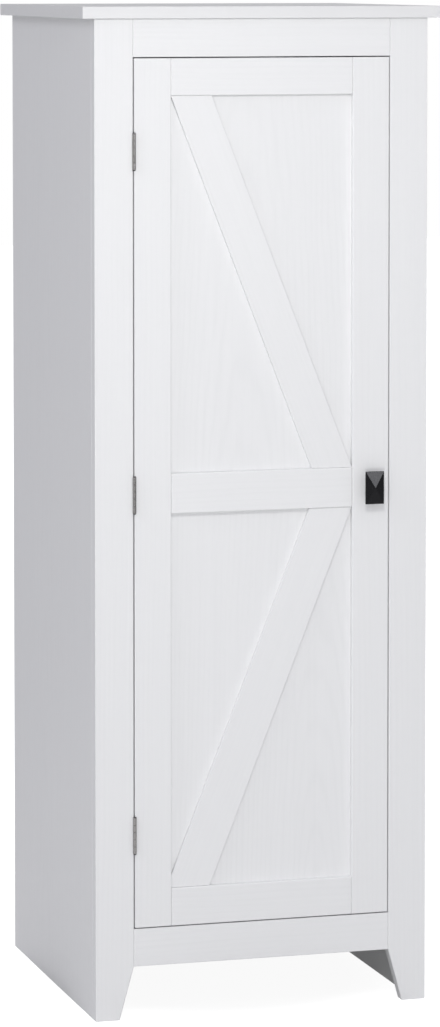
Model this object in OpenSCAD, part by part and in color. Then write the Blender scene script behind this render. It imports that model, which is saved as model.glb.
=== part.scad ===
// Tall broom cupboard: a panel carcass behind a face frame with tapered feet, and one inset
// door, framed around two recessed panels with a slanted brace on each.
// Millimetres, +Z up, the door faces -Y and hangs at -X. The origin is at floor level, in the
// middle of the whole footprint, knob included.

/* [Carcass] */
// Height from the floor to the top of the top board
cabinet_h = 1780; // [1650:5:2000]
// Width over the two side panels
carcass_w = 610; // [520:5:760]
// Depth from the front of the face frame to the back edges of the side panels
carcass_d = 604; // [450:4:700]
// Thickness of a side panel
side_t = 19; // [18:0.5:24]
// Thickness of the top board
top_t = 21; // [18:1:30]
// How far the top board stands out past each side panel
top_side_overhang = 23; // [0:1:40]
// How far the top board stands out past the face frame
top_front_overhang = 10; // [0:1:30]
// Thickness of the bottom board
bottom_t = 16; // [16:0.5:22]
// Thickness of the back rails and of the peg rail
rail_t = 16; // [16:0.5:22]
// Height of the back rail under the top board
top_back_rail_h = 67; // [50:1:100]

/* [Face frame] */
// Thickness of the face frame
frame_t = 22; // [18:1:28]
// Width of a frame stile above its foot
frame_stile_w = 69.5; // [60:0.5:90]
// Height of the frame's top rail
frame_top_rail_h = 67; // [50:1:100]
// Height of the frame's bottom rail
frame_bottom_rail_h = 66.5; // [50:0.5:100]
// Height of the open space under the bottom rail
foot_h = 94; // [60:1:140]
// Width of a foot at the floor
foot_w = 43.5; // [35:0.5:60]

/* [Back] */
// Thickness of the two back panels
back_panel_t = 3; // [2.5:0.5:6]
// How far the back panels reach over the rear of each side panel
back_lap = 9; // [6:0.5:10]
// Height of the seam between the two back panels
back_seam_z = 930; // [700:5:1200]
// Thickness of a flange of the strip that joins the back panels
seam_flange_t = 1; // [0.8:0.1:1.5]
// Height of that strip's flanges
seam_flange_h = 20; // [14:1:30]
// Radius of a back nail's shank
nail_r = 0.8; // [0.6:0.1:1.1]
// Radius of a back nail's head
nail_head_r = 2.2; // [1.8:0.1:3]
// Length of a back nail under its head
nail_len = 15; // [12:1:17]
// Number of nails up each side
side_nails = 12; // [6:1:18]

/* [Shelf] */
// Thickness of the hat shelf
shelf_t = 16; // [15:0.5:25]
// Distance from the back of the face frame to the shelf's front edge
shelf_setback = 20; // [10:1:60]
// Side clearance between the shelf and each side panel
shelf_gap = 1; // [0.5:0.25:2]
// Height of the pin holes that the shelf uses
shelf_pin_z = 1465; // [1440:5:1540]
// Height from one row of pin holes to the next
pin_pitch = 32; // [25:1:40]
// Rows of pin holes, with the used one in the middle
pin_rows = 5; // [3:2:5]
// Radius of a shelf pin
pin_r = 2.5; // [2:0.25:3]
// Length of a shelf pin inside its hole
pin_len = 9; // [7:0.5:11]
// Distance from a pin hole to the front or back end of the shelf's side
pin_inset = 50; // [35:1:80]

/* [Peg rail] */
// Height of the peg rail's lower edge
peg_rail_z = 1325; // [1200:5:1330]
// Height of the peg rail itself
peg_rail_h = 60; // [50:1:70]
// Distance from each side panel to the middle of the nearest peg
peg_inset = 91; // [60:1:120]
// Length of a peg in front of the rail
peg_reach = 62; // [45:1:80]
// Radius of the part of a peg that is glued into the rail
peg_tenon_r = 6; // [5:0.5:7]
// Radius of the ball at a peg's end
peg_ball_r = 9.5; // [8:0.5:12]

/* [Door] */
// Thickness of the door frame
door_t = 20; // [18:0.5:22]
// Gap between the door and the face frame, all round
door_gap = 2; // [2:0.25:3]
// Width of each door stile
door_stile_w = 67; // [55:1:80]
// Height of the door's top rail
door_top_rail_h = 65; // [50:1:90]
// Height of the door's middle rail
door_middle_rail_h = 70; // [60:1:90]
// Height of the door's bottom rail
door_bottom_rail_h = 67; // [50:1:90]
// Distance from the door's lower edge to the middle rail
middle_rail_up = 730.5; // [600:0.5:850]
// Thickness of a door panel
panel_t = 5; // [4:0.5:6]
// Depth of a door panel's face behind the door's face
panel_recess = 11; // [8:0.5:12]
// Depth of the grooves that hold the panels and the rail tenons
groove_d = 8; // [6:0.5:10]
// Clearance on each side of a panel or tenon in its groove
groove_fit = 0.1; // [0.05:0.05:0.2]
// Clearance at the edge of a panel or the end of a tenon
groove_end_gap = 0.8; // [0.5:0.1:1.5]
// Thickness of a brace
brace_t = 8; // [5:0.5:8]
// Width of the upper brace
upper_brace_w = 69; // [50:0.5:80]
// Width of the lower brace
lower_brace_w = 73; // [50:0.5:80]
// How far past the corner of the opening the lower brace's outer edge would reach
lower_brace_toe = 8.5; // [0:0.5:15]
// Number of screws that hold each brace from behind
brace_screws_each = 4; // [2:1:6]
// Distance from a brace's end, along its height, to its first screw
brace_screw_inset = 90; // [60:1:140]

/* [Hinges] */
// Length of a hinge leaf
leaf_h = 63.5; // [55:0.5:75]
// Thickness of a hinge leaf
leaf_t = 0.8; // [0.6:0.05:0.85]
// How far a leaf reaches into the door gap
leaf_depth = 17; // [14:0.5:17.5]
// Outer radius of the hinge barrel
barrel_r = 3.15; // [2.8:0.05:3.3]
// Radius of the hinge pin
hinge_pin_r = 1.5; // [1.2:0.05:1.7]
// Running clearance around the hinge pin
hinge_pin_fit = 0.05; // [0.02:0.01:0.1]
// How far the pin line stands in front of the face frame
hinge_proud = 3.4; // [3.4:0.1:4.5]
// Gap between neighbouring knuckles
knuckle_gap = 0.3; // [0.2:0.05:0.5]
// Height of the tip at each end of a hinge pin
pin_tip_h = 1.75; // [1:0.25:4]
// Distance from the door's top edge down to the upper hinge's middle
upper_hinge_down = 162; // [100:1:220]
// Distance from the door's bottom edge up to the lower hinge's middle
lower_hinge_up = 164.5; // [100:0.5:220]
// Radius of a hinge screw's head
hinge_screw_head_r = 2.4; // [2.1:0.1:2.8]
// Length of a hinge screw
hinge_screw_len = 14; // [10:1:18]

/* [Knob] */
// Width of the knob's head
knob_w = 34; // [25:1:45]
// Height of the knob's head
knob_h = 58; // [40:1:70]
// How far the knob stands in front of the door
knob_reach = 26; // [20:1:35]
// Thickness of the rim around the knob's point
knob_rim_t = 3; // [2:0.5:5]
// Height of the knob's four-sided point
knob_point_t = 4.5; // [3:0.5:8]
// Radius of the knob's stem
knob_stem_r = 6.5; // [5:0.5:9]
// Distance from the door's free edge to the middle of the knob
knob_inset = 32; // [25:0.5:45]
// Radius of the screw that holds the knob
knob_screw_r = 2; // [1.75:0.25:2.5]
// Depth that this screw reaches into the knob's stem
knob_grip = 12; // [8:0.5:14]

/* [Magnetic catch] */
// Height of the catch's middle above the floor
catch_z = 928; // [700:1:1200]
// Length of the catch's body
catch_h = 46; // [36:1:60]
// How far the catch's body stands into the door opening
catch_w = 14; // [12:0.5:18]
// Depth of the catch's body behind the face frame
catch_d = 13; // [12:0.5:18]
// Width of the catch's mounting flange behind the stile
catch_flange_w = 22; // [18:1:30]
// Thickness of that flange
catch_flange_t = 2.5; // [2:0.25:4]
// Gap between the magnet's pole plates and the strike plate, door closed
catch_gap = 0.3; // [0.3:0.05:0.5]
// Clearance between the catch's body and the inner edge of the stile
catch_side_gap = 0.5; // [0.3:0.1:1]
// Thickness of the strike plate
strike_t = 1; // [0.8:0.1:1.5]
// Height of the strike plate
strike_h = 36; // [28:1:50]

/* [Fixings] */
// Radius of a cam lock
cam_r = 7.5; // [6:0.5:7.5]
// Height of a cam lock
cam_h = 12.5; // [11:0.5:13]
// Distance from the joint to the middle of its cam lock
cam_setback = 24; // [20:1:30]
// Depth of the bolt line under the face that a cam lock opens on
cam_line = 8; // [7:0.5:9]
// Radius of a cam bolt's threaded end
cam_bolt_r = 3; // [2.5:0.25:3.5]
// Depth that a cam bolt is screwed into the other board
cam_bolt_grip = 11; // [8:0.5:12]
// Radius of a wooden dowel
dowel_r = 4; // [3:0.5:4]
// Length of a wooden dowel
dowel_len = 30; // [26:1:35]
// Depth of a dowel in the board whose face it enters
dowel_grip = 11; // [8:0.5:12]
// Radius of a wood screw's shank
screw_r = 1.25; // [1:0.05:1.5]
// Radial clearance of pins, dowels, bolts, nails and screws in their holes
fit = 0.05; // [0.02:0.01:0.1]
// Clearance left at the bottom of a blind hole
hole_end_gap = 0.5; // [0.3:0.1:1]
// Radius of the two holes for wall screws
wall_hole_r = 2.5; // [2:0.25:3.5]
// Distance between the two wall screws
wall_hole_pitch = 406.4; // [300:0.4:420]

/* [Hidden] */
$fn = 64;
// How far a cut reaches past the face it opens
over = 1;

RIGHT = [1, 0, 0];
LEFT = [-1, 0, 0];
BACK = [0, 1, 0];
FRONT = [0, -1, 0];
UP = [0, 0, 1];
DOWN = [0, 0, -1];

white_paint = [0.92, 0.92, 0.93];
raw_board = [0.86, 0.85, 0.83];
beech = [0.80, 0.66, 0.48];
nickel = [0.66, 0.65, 0.63];
zinc = [0.72, 0.73, 0.75];
steel = [0.55, 0.56, 0.58];
black_metal = [0.10, 0.10, 0.11];
magnet_grey = [0.22, 0.22, 0.23];
white_plastic = [0.90, 0.90, 0.89];

// Planes from front to back
front_reach = max(knob_reach, top_front_overhang, hinge_proud + barrel_r);
front_y = (front_reach - carcass_d) / 2;
frame_back_y = front_y + frame_t;
door_back_y = front_y + door_t;
panel_front_y = front_y + panel_recess;
panel_back_y = panel_front_y + panel_t;
back_y = front_y + carcass_d;
lap_y = back_y - back_panel_t - seam_flange_t;
rail_front_y = lap_y - rail_t;
carcass_mid_y = (frame_back_y + lap_y) / 2;

// Planes from the middle to the right; the left ones mirror them
half_w = carcass_w / 2;
inner_x = half_w - side_t;
open_x = half_w - frame_stile_w;
door_x = open_x - door_gap;
panel_x = door_x - door_stile_w;
shelf_x = inner_x - shelf_gap;

// Heights of the carcass, the frame and the door
top_z = cabinet_h - top_t;
frame_top_rail_z = top_z - frame_top_rail_h;
open_z = foot_h + frame_bottom_rail_h;
bottom_z = open_z - bottom_t;
door_bottom_z = open_z + door_gap;
door_top_z = frame_top_rail_z - door_gap;
lower_panel_z = door_bottom_z + door_bottom_rail_h;
middle_rail_z = door_bottom_z + middle_rail_up;
upper_panel_z = middle_rail_z + door_middle_rail_h;
door_top_rail_z = door_top_z - door_top_rail_h;
top_back_rail_z = top_z - top_back_rail_h;
shelf_z = shelf_pin_z + pin_r;
shelf_front_y = frame_back_y + shelf_setback;
shelf_back_y = lap_y - 2 * shelf_gap;

// The hinges' pin line and heights
pin_line_x = -open_x + door_gap / 2;
pin_line_y = front_y - hinge_proud;
upper_hinge_z = door_top_z - upper_hinge_down;
lower_hinge_z = door_bottom_z + lower_hinge_up;
middle_hinge_z = (upper_hinge_z + lower_hinge_z) / 2;
hinge_heights = [lower_hinge_z, middle_hinge_z, upper_hinge_z];
knuckles = 5;
knuckle_h = leaf_h / knuckles;
knuckle_clear = 0.3;
leaf_screw_line_y = front_y + leaf_depth / 2;
leaf_screw_stagger = 3;
leaf_screw_pitch = 21;
hinge_screw_cone = 1.6;
pin_tip_r = barrel_r - 0.5;

// The knob and its screw
knob_x = door_x - knob_inset;
knob_z = middle_rail_z + door_middle_rail_h / 2;
knob_head_y = front_y - knob_reach + knob_point_t + knob_rim_t;
knob_washer_r = 6;
knob_washer_t = 1;
knob_screw_head_r = 4;
knob_screw_head_h = 2.4;

// The catch
strike_back_y = door_back_y + strike_t;
pole_front_y = strike_back_y + catch_gap;
pole_proud = 0.7;
catch_front_y = pole_front_y + pole_proud;
catch_back_y = frame_back_y + catch_d;
catch_wall = 2;
pole_t = 1.2;
magnet_h = catch_h - 4 * catch_wall;
catch_left_x = open_x - catch_w;
catch_right_x = open_x - catch_side_gap;
pocket_left_x = catch_left_x + catch_wall;
pocket_right_x = catch_right_x - catch_wall;
pocket_back_y = catch_back_y - catch_wall;
catch_screw_x = open_x + catch_flange_w / 2;
catch_screw_end_inset = 8;
catch_screw_up = catch_h / 2 - catch_screw_end_inset;
catch_screw_len = 14;
catch_screw_head_r = 3.2;
catch_screw_head_h = 1.8;
strike_w = 13;
strike_edge_inset = 1;
strike_x = door_x - strike_edge_inset - strike_w / 2;
strike_screw_len = 12;

// The brace screws, and the wood left in front of their points
brace_screw_cover = 3;
brace_screw_len = panel_t + brace_t - brace_screw_cover;
brace_screw_head_r = 2.8;
brace_screw_cone = 2;

// Edges and ends where fixings sit
board_end_inset = 60;
top_cam_inset = 90;
stile_cam_inset = 60;
stile_cams_each = 4;
rail_fix_offset = 14;
frame_dowel_offset = 16;
frame_dowel_grip = dowel_len / 2;
rail_dowel_inset = 136;
rail_dowel_x = inner_x - rail_dowel_inset;
nail_end_inset = 25;
rail_nail_inset = 46;
seam_strip_end_gap = 1;

// Which way an item made upwards is turned to point along d
function turn(d) =
    d == RIGHT ? [0, 90, 0] :
    d == LEFT ? [0, -90, 0] :
    d == BACK ? [-90, 0, 0] :
    d == FRONT ? [90, 0, 0] :
    d == DOWN ? [180, 0, 0] : [0, 0, 0];

// A straight board between two corners
module board(low, high) {
    translate(low) cube(high - low);
}

// A round bar, or the hole for one, from a point along d
module rod(at, d, r, len) {
    translate(at) rotate(turn(d)) cylinder(r = r, h = len);
}

// How much longer a screw's hole is than its shank: nothing for the screw itself, whose gap is 0
function end_gap(gap) = gap > 0 ? hole_end_gap : 0;

// A countersunk screw with its flat head at a point, pointing along d, or the hole for it
module flat_screw(at, d, head_r, cone, len, gap) {
    translate(at) rotate(turn(d)) {
        cylinder(r1 = head_r + gap, r2 = screw_r + gap, h = cone);
        cylinder(r = screw_r + gap, h = len + end_gap(gap));
    }
}

// ---- Joints of the carcass ----
// A cam joint is [point on the joint, way into the cam's board, way the cam lock opens].
// A dowel is [point on the joint, way into the board's end, its depth in the other board].

function bottom_board_cams() = [
    for (s = [-1, 1], y = [frame_back_y + board_end_inset, lap_y - board_end_inset])
        [[s * inner_x, y, bottom_z + cam_line], s < 0 ? RIGHT : LEFT, DOWN]
];
function top_board_cams() = [
    for (s = [-1, 1], y = [frame_back_y + top_cam_inset, lap_y - top_cam_inset])
        [[s * (inner_x + cam_line), y, top_z], DOWN, s < 0 ? RIGHT : LEFT]
];
stile_cam_pitch = (frame_top_rail_z - open_z - 2 * stile_cam_inset) / (stile_cams_each - 1);
function stile_cam_heights() = [
    for (i = [0 : stile_cams_each - 1]) open_z + stile_cam_inset + i * stile_cam_pitch
];
function stile_cams() = [
    for (s = [-1, 1], z = stile_cam_heights())
        [[s * (inner_x + cam_line), frame_back_y, z], BACK, s < 0 ? RIGHT : LEFT]
];
function rail_cams(mid_z) = [
    for (s = [-1, 1])
        [[s * inner_x, lap_y - cam_line, mid_z - rail_fix_offset], s < 0 ? RIGHT : LEFT, BACK]
];

function bottom_board_dowels() = [
    for (s = [-1, 1])
        [[s * inner_x, carcass_mid_y, bottom_z + bottom_t / 2], s < 0 ? RIGHT : LEFT, dowel_grip]
];
function top_board_dowels() = [
    for (s = [-1, 1]) [[s * (inner_x + cam_line), carcass_mid_y, top_z], DOWN, dowel_grip]
];
// A stile's dowels stand halfway between its cam bolts
function stile_dowels() = [
    for (s = [-1, 1], i = [0 : stile_cams_each - 2])
        [[s * (inner_x + cam_line), frame_back_y, stile_cam_heights()[i] + stile_cam_pitch / 2],
         BACK, dowel_grip]
];
function rail_dowels(mid_z) = [
    for (s = [-1, 1])
        [[s * inner_x, lap_y - cam_line, mid_z + rail_fix_offset], s < 0 ? RIGHT : LEFT, dowel_grip]
];
function bottom_rail_dowels() = [
    for (s = [-1, 1]) [[s * rail_dowel_x, frame_back_y, bottom_z + bottom_t / 2], BACK, dowel_grip]
];
function top_rail_dowels() = [
    for (s = [-1, 1]) [[s * rail_dowel_x, front_y + frame_t / 2, top_z], DOWN, dowel_grip]
];
function frame_dowel_list() = [
    for (s = [-1, 1], mid = [foot_h + frame_bottom_rail_h / 2, frame_top_rail_z + frame_top_rail_h / 2],
         up = [-1, 1])
        [[s * open_x, front_y + frame_t / 2, mid + up * frame_dowel_offset],
         s < 0 ? RIGHT : LEFT, frame_dowel_grip]
];

top_back_rail_mid = top_back_rail_z + top_back_rail_h / 2;
bottom_back_rail_mid = (foot_h + bottom_z) / 2;
peg_rail_mid = peg_rail_z + peg_rail_h / 2;
rail_middles = [top_back_rail_mid, bottom_back_rail_mid, peg_rail_mid];

function all_rail_cams() = [for (mid = rail_middles) each rail_cams(mid)];
function all_rail_dowels() = [for (mid = rail_middles) each rail_dowels(mid)];
function all_cams() = concat(bottom_board_cams(), top_board_cams(), stile_cams(), all_rail_cams());
function side_dowels() = concat(
    bottom_board_dowels(), top_board_dowels(), stile_dowels(), all_rail_dowels()
);
function all_carcass_dowels() = concat(side_dowels(), bottom_rail_dowels(), top_rail_dowels());
// Those joints of a list that are left (s = -1) or right (s = 1) of the middle
function on_side(s, joints) = [for (joint = joints) if (sign(joint[0][0]) == s) joint];

// Stand its children at a cam joint: +Z into the cam's board, +X out of the cam's open face
module at_joint(joint) {
    p = joint[0];
    z = joint[1];
    x = joint[2];
    y = cross(z, x);
    multmatrix([
        [x[0], y[0], z[0], p[0]],
        [x[1], y[1], z[1], p[1]],
        [x[2], y[2], z[2], p[2]],
        [0, 0, 0, 1]
    ]) children();
}

// The sizes of a cam bolt, and the half width of the slot in the cam lock that takes its head
cam_head_r = 3.3;
cam_head_h = 4;
cam_neck_r = 1.8;
cam_neck_h = 4;
cam_slot_gap = 0.4;
cam_slot = cam_head_r + cam_slot_gap;

// The cam lock's pocket, the bolt's channel and the bolt's hole in the other board
module cam_cuts(joints) {
    for (joint = joints) at_joint(joint) {
        rod([cam_line - cam_h - hole_end_gap, 0, cam_setback], RIGHT,
            cam_r + fit, cam_h + hole_end_gap + over);
        rod([0, 0, 0], UP, cam_slot, cam_setback);
        rod([0, 0, -cam_bolt_grip - hole_end_gap], UP, cam_bolt_r + fit,
            cam_bolt_grip + hole_end_gap + over);
    }
}

module dowel_cuts(dowels) {
    for (dowel = dowels)
        rod(dowel[0] - dowel[1] * (dowel[2] + hole_end_gap), dowel[1], dowel_r + fit,
            dowel_len + 2 * hole_end_gap);
}

module dowels(list) {
    for (dowel = list) rod(dowel[0] - dowel[1] * dowel[2], dowel[1], dowel_r, dowel_len);
}

module cam_lock() {
    cross_l = 9;
    cross_w = 1.6;
    cross_d = 1.8;
    difference() {
        rod([cam_line - cam_h, 0, cam_setback], RIGHT, cam_r, cam_h);
        board([-cam_slot, -cam_slot, cam_setback - cam_r - over],
              [cam_slot, cam_slot, cam_setback + cam_slot]);
        for (turn_by = [0, 90])
            translate([cam_line - cross_d, 0, cam_setback]) rotate([turn_by, 0, 0])
                translate([0, -cross_l / 2, -cross_w / 2]) cube([cross_d + over, cross_l, cross_w]);
    }
}

module cam_bolt() {
    head_z = cam_setback - cam_head_h / 2;
    rod([0, 0, -cam_bolt_grip], UP, cam_bolt_r, cam_bolt_grip);
    rod([0, 0, 0], UP, cam_head_r, head_z - cam_neck_h);
    rod([0, 0, 0], UP, cam_neck_r, cam_setback);
    rod([0, 0, head_z], UP, cam_head_r, cam_head_h);
}

// ---- Nails of the back ----
side_nail_x = inner_x + back_lap / 2;
rail_nails_each = 4;
rail_nail_end = inner_x - rail_nail_inset;
rail_nail_xs = [for (i = [0 : rail_nails_each - 1]) rail_nail_end * (2 * i / (rail_nails_each - 1) - 1)];
side_nail_rise = (top_z - foot_h - 2 * nail_end_inset) / (side_nails - 1);
nail_points = concat(
    [for (s = [-1, 1], i = [0 : side_nails - 1])
        [s * side_nail_x, foot_h + nail_end_inset + i * side_nail_rise]],
    [for (x = rail_nail_xs, z = [bottom_back_rail_mid, top_back_rail_mid]) [x, z]]
);

function side_nails_at(s) = [for (p = nail_points) if (s * p[0] > inner_x) p];
function rail_nails() = [for (p = nail_points) if (abs(p[0]) < inner_x) p];

module nail_cuts(points) {
    for (p = points)
        rod([p[0], back_y, p[1]], FRONT, nail_r + fit, seam_flange_t + nail_len + hole_end_gap);
}

// ---- Top, sides and bottom ----
module top_board() {
    color(white_paint) difference() {
        board([-half_w - top_side_overhang, front_y - top_front_overhang, top_z],
              [half_w + top_side_overhang, back_y, cabinet_h]);
        cam_cuts(top_board_cams());
        dowel_cuts(top_board_dowels());
        dowel_cuts(top_rail_dowels());
    }
}

module side_panel(s) {
    color(white_paint) difference() {
        board([s < 0 ? -half_w : inner_x, frame_back_y, 0], [s < 0 ? -inner_x : half_w, back_y, top_z]);
        board([s < 0 ? -inner_x - back_lap : inner_x - over, lap_y, foot_h],
              [s < 0 ? -inner_x + over : inner_x + back_lap, back_y + over, top_z + over]);
        cam_cuts(on_side(s, all_cams()));
        dowel_cuts(on_side(s, side_dowels()));
        nail_cuts(side_nails_at(s));
        shelf_pin_holes(s);
    }
}

module shelf_pin_holes(s) {
    half_rows = (pin_rows - 1) / 2;
    for (row = [-half_rows : half_rows], y = shelf_pin_ys)
        rod([s * (inner_x - over), y, shelf_pin_z + row * pin_pitch], s < 0 ? LEFT : RIGHT,
            pin_r + fit, over + pin_len + hole_end_gap);
}

shelf_pin_ys = [shelf_front_y + pin_inset, shelf_back_y - pin_inset];

module left_side_panel() side_panel(-1);
module right_side_panel() side_panel(1);

module bottom_board() {
    color(white_paint) difference() {
        board([-inner_x, frame_back_y, bottom_z], [inner_x, lap_y, open_z]);
        cam_cuts(bottom_board_cams());
        dowel_cuts(bottom_board_dowels());
        dowel_cuts(bottom_rail_dowels());
    }
}

// A board across the rear of the carcass, between the side panels
module cross_rail(low_z, high_z, mid_z) {
    difference() {
        board([-inner_x, rail_front_y, low_z], [inner_x, lap_y, high_z]);
        cam_cuts(rail_cams(mid_z));
        dowel_cuts(rail_dowels(mid_z));
        nail_cuts(rail_nails());
    }
}

module top_back_rail() {
    color(white_paint) difference() {
        cross_rail(top_back_rail_z, top_z, top_back_rail_mid);
        wall_holes();
    }
}

module bottom_back_rail() {
    color(white_paint) cross_rail(foot_h, bottom_z, bottom_back_rail_mid);
}

// Two holes, through the rail and the back, for screws into a wall
module wall_holes() {
    for (s = [-1, 1])
        rod([s * wall_hole_pitch / 2, rail_front_y - over, top_back_rail_mid], BACK,
            wall_hole_r, back_y - rail_front_y + 2 * over);
}

// ---- Back ----
module back_panel(low_z, high_z) {
    difference() {
        board([-inner_x - back_lap, lap_y, low_z], [inner_x + back_lap, lap_y + back_panel_t, high_z]);
        nail_cuts(nail_points);
        wall_holes();
    }
}

module upper_back_panel() {
    color(raw_board) back_panel(back_seam_z + seam_flange_t / 2, top_z);
}

module lower_back_panel() {
    color(raw_board) back_panel(foot_h, back_seam_z - seam_flange_t / 2);
}

module back_seam_strip() {
    strip_x = inner_x - seam_strip_end_gap;
    color(white_plastic) {
        board([-strip_x, lap_y - seam_flange_t, back_seam_z - seam_flange_h / 2],
              [strip_x, lap_y, back_seam_z + seam_flange_h / 2]);
        board([-strip_x, lap_y + back_panel_t, back_seam_z - seam_flange_h / 2],
              [strip_x, back_y, back_seam_z + seam_flange_h / 2]);
        board([-strip_x, lap_y - seam_flange_t, back_seam_z - seam_flange_t / 2],
              [strip_x, back_y, back_seam_z + seam_flange_t / 2]);
    }
}

module back_nails() {
    color(steel) for (p = nail_points) {
        rod([p[0], lap_y + back_panel_t, p[1]], BACK, nail_head_r, seam_flange_t);
        rod([p[0], lap_y + back_panel_t, p[1]], FRONT, nail_r, nail_len);
    }
}

// ---- Face frame ----
module frame_stile(s) {
    color(white_paint) difference() {
        translate([0, frame_back_y, 0]) rotate([90, 0, 0]) linear_extrude(frame_t)
            polygon([
                [s * half_w, 0], [s * (half_w - foot_w), 0], [s * open_x, foot_h],
                [s * open_x, top_z], [s * half_w, top_z]
            ]);
        cam_cuts(on_side(s, stile_cams()));
        dowel_cuts(on_side(s, concat(stile_dowels(), frame_dowel_list())));
        if (s < 0) hinge_screw_cuts(-1);
        if (s > 0) catch_screws_shape(fit);
    }
}

module left_frame_stile() frame_stile(-1);
module right_frame_stile() frame_stile(1);

module top_frame_rail() {
    color(white_paint) difference() {
        board([-open_x, front_y, frame_top_rail_z], [open_x, frame_back_y, top_z]);
        dowel_cuts(frame_dowel_list());
        dowel_cuts(top_rail_dowels());
    }
}

module bottom_frame_rail() {
    color(white_paint) difference() {
        board([-open_x, front_y, foot_h], [open_x, frame_back_y, open_z]);
        dowel_cuts(frame_dowel_list());
        dowel_cuts(bottom_rail_dowels());
    }
}

// ---- Fixings of the carcass ----
module cam_locks() {
    color(zinc) for (joint = all_cams()) at_joint(joint) cam_lock();
}

module cam_bolts() {
    color(zinc) for (joint = all_cams()) at_joint(joint) cam_bolt();
}

module carcass_dowels() {
    color(beech) dowels(all_carcass_dowels());
}

module frame_dowels() {
    color(beech) dowels(frame_dowel_list());
}

// ---- Shelf ----
module hat_shelf() {
    color(white_paint)
        board([-shelf_x, shelf_front_y, shelf_z], [shelf_x, shelf_back_y, shelf_z + shelf_t]);
}

// Each pin has a plate against the side panel and a flat tongue under the shelf
module shelf_pins() {
    plate_t = 2;
    plate_w = 10;
    plate_h = 13;
    tongue_l = 13;
    tongue_t = 2.5;
    color(zinc) for (s = [-1, 1], y = shelf_pin_ys) translate([s * inner_x, y, shelf_z]) {
        rod([0, 0, -pin_r], s < 0 ? LEFT : RIGHT, pin_r, pin_len);
        board([min(0, -s * plate_t), -plate_w / 2, -plate_h], [max(0, -s * plate_t), plate_w / 2, 0]);
        board([min(0, -s * tongue_l), -plate_w / 2, -tongue_t], [max(0, -s * tongue_l), plate_w / 2, 0]);
    }
}

// ---- Peg rail ----
pegs = 4;
peg_pitch = 2 * (inner_x - peg_inset) / (pegs - 1);
peg_xs = [for (i = [0 : pegs - 1]) peg_inset - inner_x + i * peg_pitch];
peg_tenon_cover = 2;
peg_tenon_l = rail_t - peg_tenon_cover;

module peg_rail() {
    color(white_paint) difference() {
        cross_rail(peg_rail_z, peg_rail_z + peg_rail_h, peg_rail_mid);
        for (x = peg_xs)
            rod([x, rail_front_y - over, peg_rail_mid], BACK, peg_tenon_r + fit,
                over + peg_tenon_l + hole_end_gap);
    }
}

// A turned peg: tenon, collar, tapered neck and ball
module broom_peg(i) {
    collar_r = 9;
    collar_l = 4;
    root_r = 8;
    neck_r = 4.5;
    ball_at = peg_reach - peg_ball_r;
    color(white_paint) {
        rod([peg_xs[i], rail_front_y, peg_rail_mid], BACK, peg_tenon_r, peg_tenon_l);
        translate([peg_xs[i], rail_front_y, peg_rail_mid]) rotate(turn(FRONT)) {
            cylinder(r = collar_r, h = collar_l);
            cylinder(r1 = root_r, r2 = neck_r, h = ball_at);
            translate([0, 0, ball_at]) sphere(r = peg_ball_r);
        }
    }
}

module broom_peg_1() broom_peg(0);
module broom_peg_2() broom_peg(1);
module broom_peg_3() broom_peg(2);
module broom_peg_4() broom_peg(3);

// ---- Door frame ----
// The groove that a panel or a tenon sits in, as wide as the door, between two heights
module panel_groove(low_z, high_z) {
    board([-panel_x - groove_d, panel_front_y - groove_fit, low_z],
          [panel_x + groove_d, panel_back_y + groove_fit, high_z]);
}

module door_stile(s) {
    difference() {
        board([s < 0 ? -door_x : panel_x, front_y, door_bottom_z],
              [s < 0 ? -panel_x : door_x, door_back_y, door_top_z]);
        panel_groove(door_bottom_z - over, door_top_z + over);
    }
}

module door_hinge_stile() {
    color(white_paint) difference() {
        door_stile(-1);
        hinge_screw_cuts(1);
    }
}

module door_knob_stile() {
    color(white_paint) difference() {
        door_stile(1);
        rod([knob_x, front_y - over, knob_z], BACK, knob_screw_r + fit, door_t + 2 * over);
        strike_screw_shape(fit);
    }
}

// A rail with a tenon at each end and a groove along each edge that meets a panel
module door_rail(low_z, high_z, groove_below, groove_above) {
    tenon_x = panel_x + groove_d - groove_end_gap;
    color(white_paint) difference() {
        union() {
            board([-panel_x, front_y, low_z], [panel_x, door_back_y, high_z]);
            board([-tenon_x, panel_front_y, low_z], [tenon_x, panel_back_y, high_z]);
        }
        if (groove_below) panel_groove(low_z - over, low_z + groove_d);
        if (groove_above) panel_groove(high_z - groove_d, high_z + over);
    }
}

module door_top_rail() door_rail(door_top_rail_z, door_top_z, true, false);
module door_middle_rail() door_rail(middle_rail_z, upper_panel_z, true, true);
module door_bottom_rail() door_rail(door_bottom_z, lower_panel_z, false, true);

// ---- Door panels ----
panel_tuck = groove_d - groove_end_gap;

module door_panel(low_z, high_z, line) {
    color(white_paint) difference() {
        board([-panel_x - panel_tuck, panel_front_y, low_z - panel_tuck],
              [panel_x + panel_tuck, panel_back_y, high_z + panel_tuck]);
        brace_screws_at(brace_screw_points(line), fit);
    }
}

module upper_door_panel() door_panel(upper_panel_z, door_top_rail_z, upper_brace_line);
module lower_door_panel() door_panel(lower_panel_z, middle_rail_z, lower_brace_line);

// ---- Braces ----
// A brace's two long edges stand `step` apart along a rail. One edge starts in an upper corner
// of the opening, and the other would pass the lower corner by `toe`, so the brace is w wide when
// step * rise = w * sqrt(rise^2 + run^2), with run = opening_w + toe - step.
opening_w = 2 * panel_x;
function brace_step(w, rise, toe) =
    let (reach = opening_w + toe, a = rise * rise - w * w, b = 2 * reach * w * w,
         c = -w * w * (rise * rise + reach * reach))
        (-b + sqrt(b * b - 4 * a * c)) / (2 * a);

upper_rise = door_top_rail_z - upper_panel_z;
lower_rise = middle_rail_z - lower_panel_z;
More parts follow.
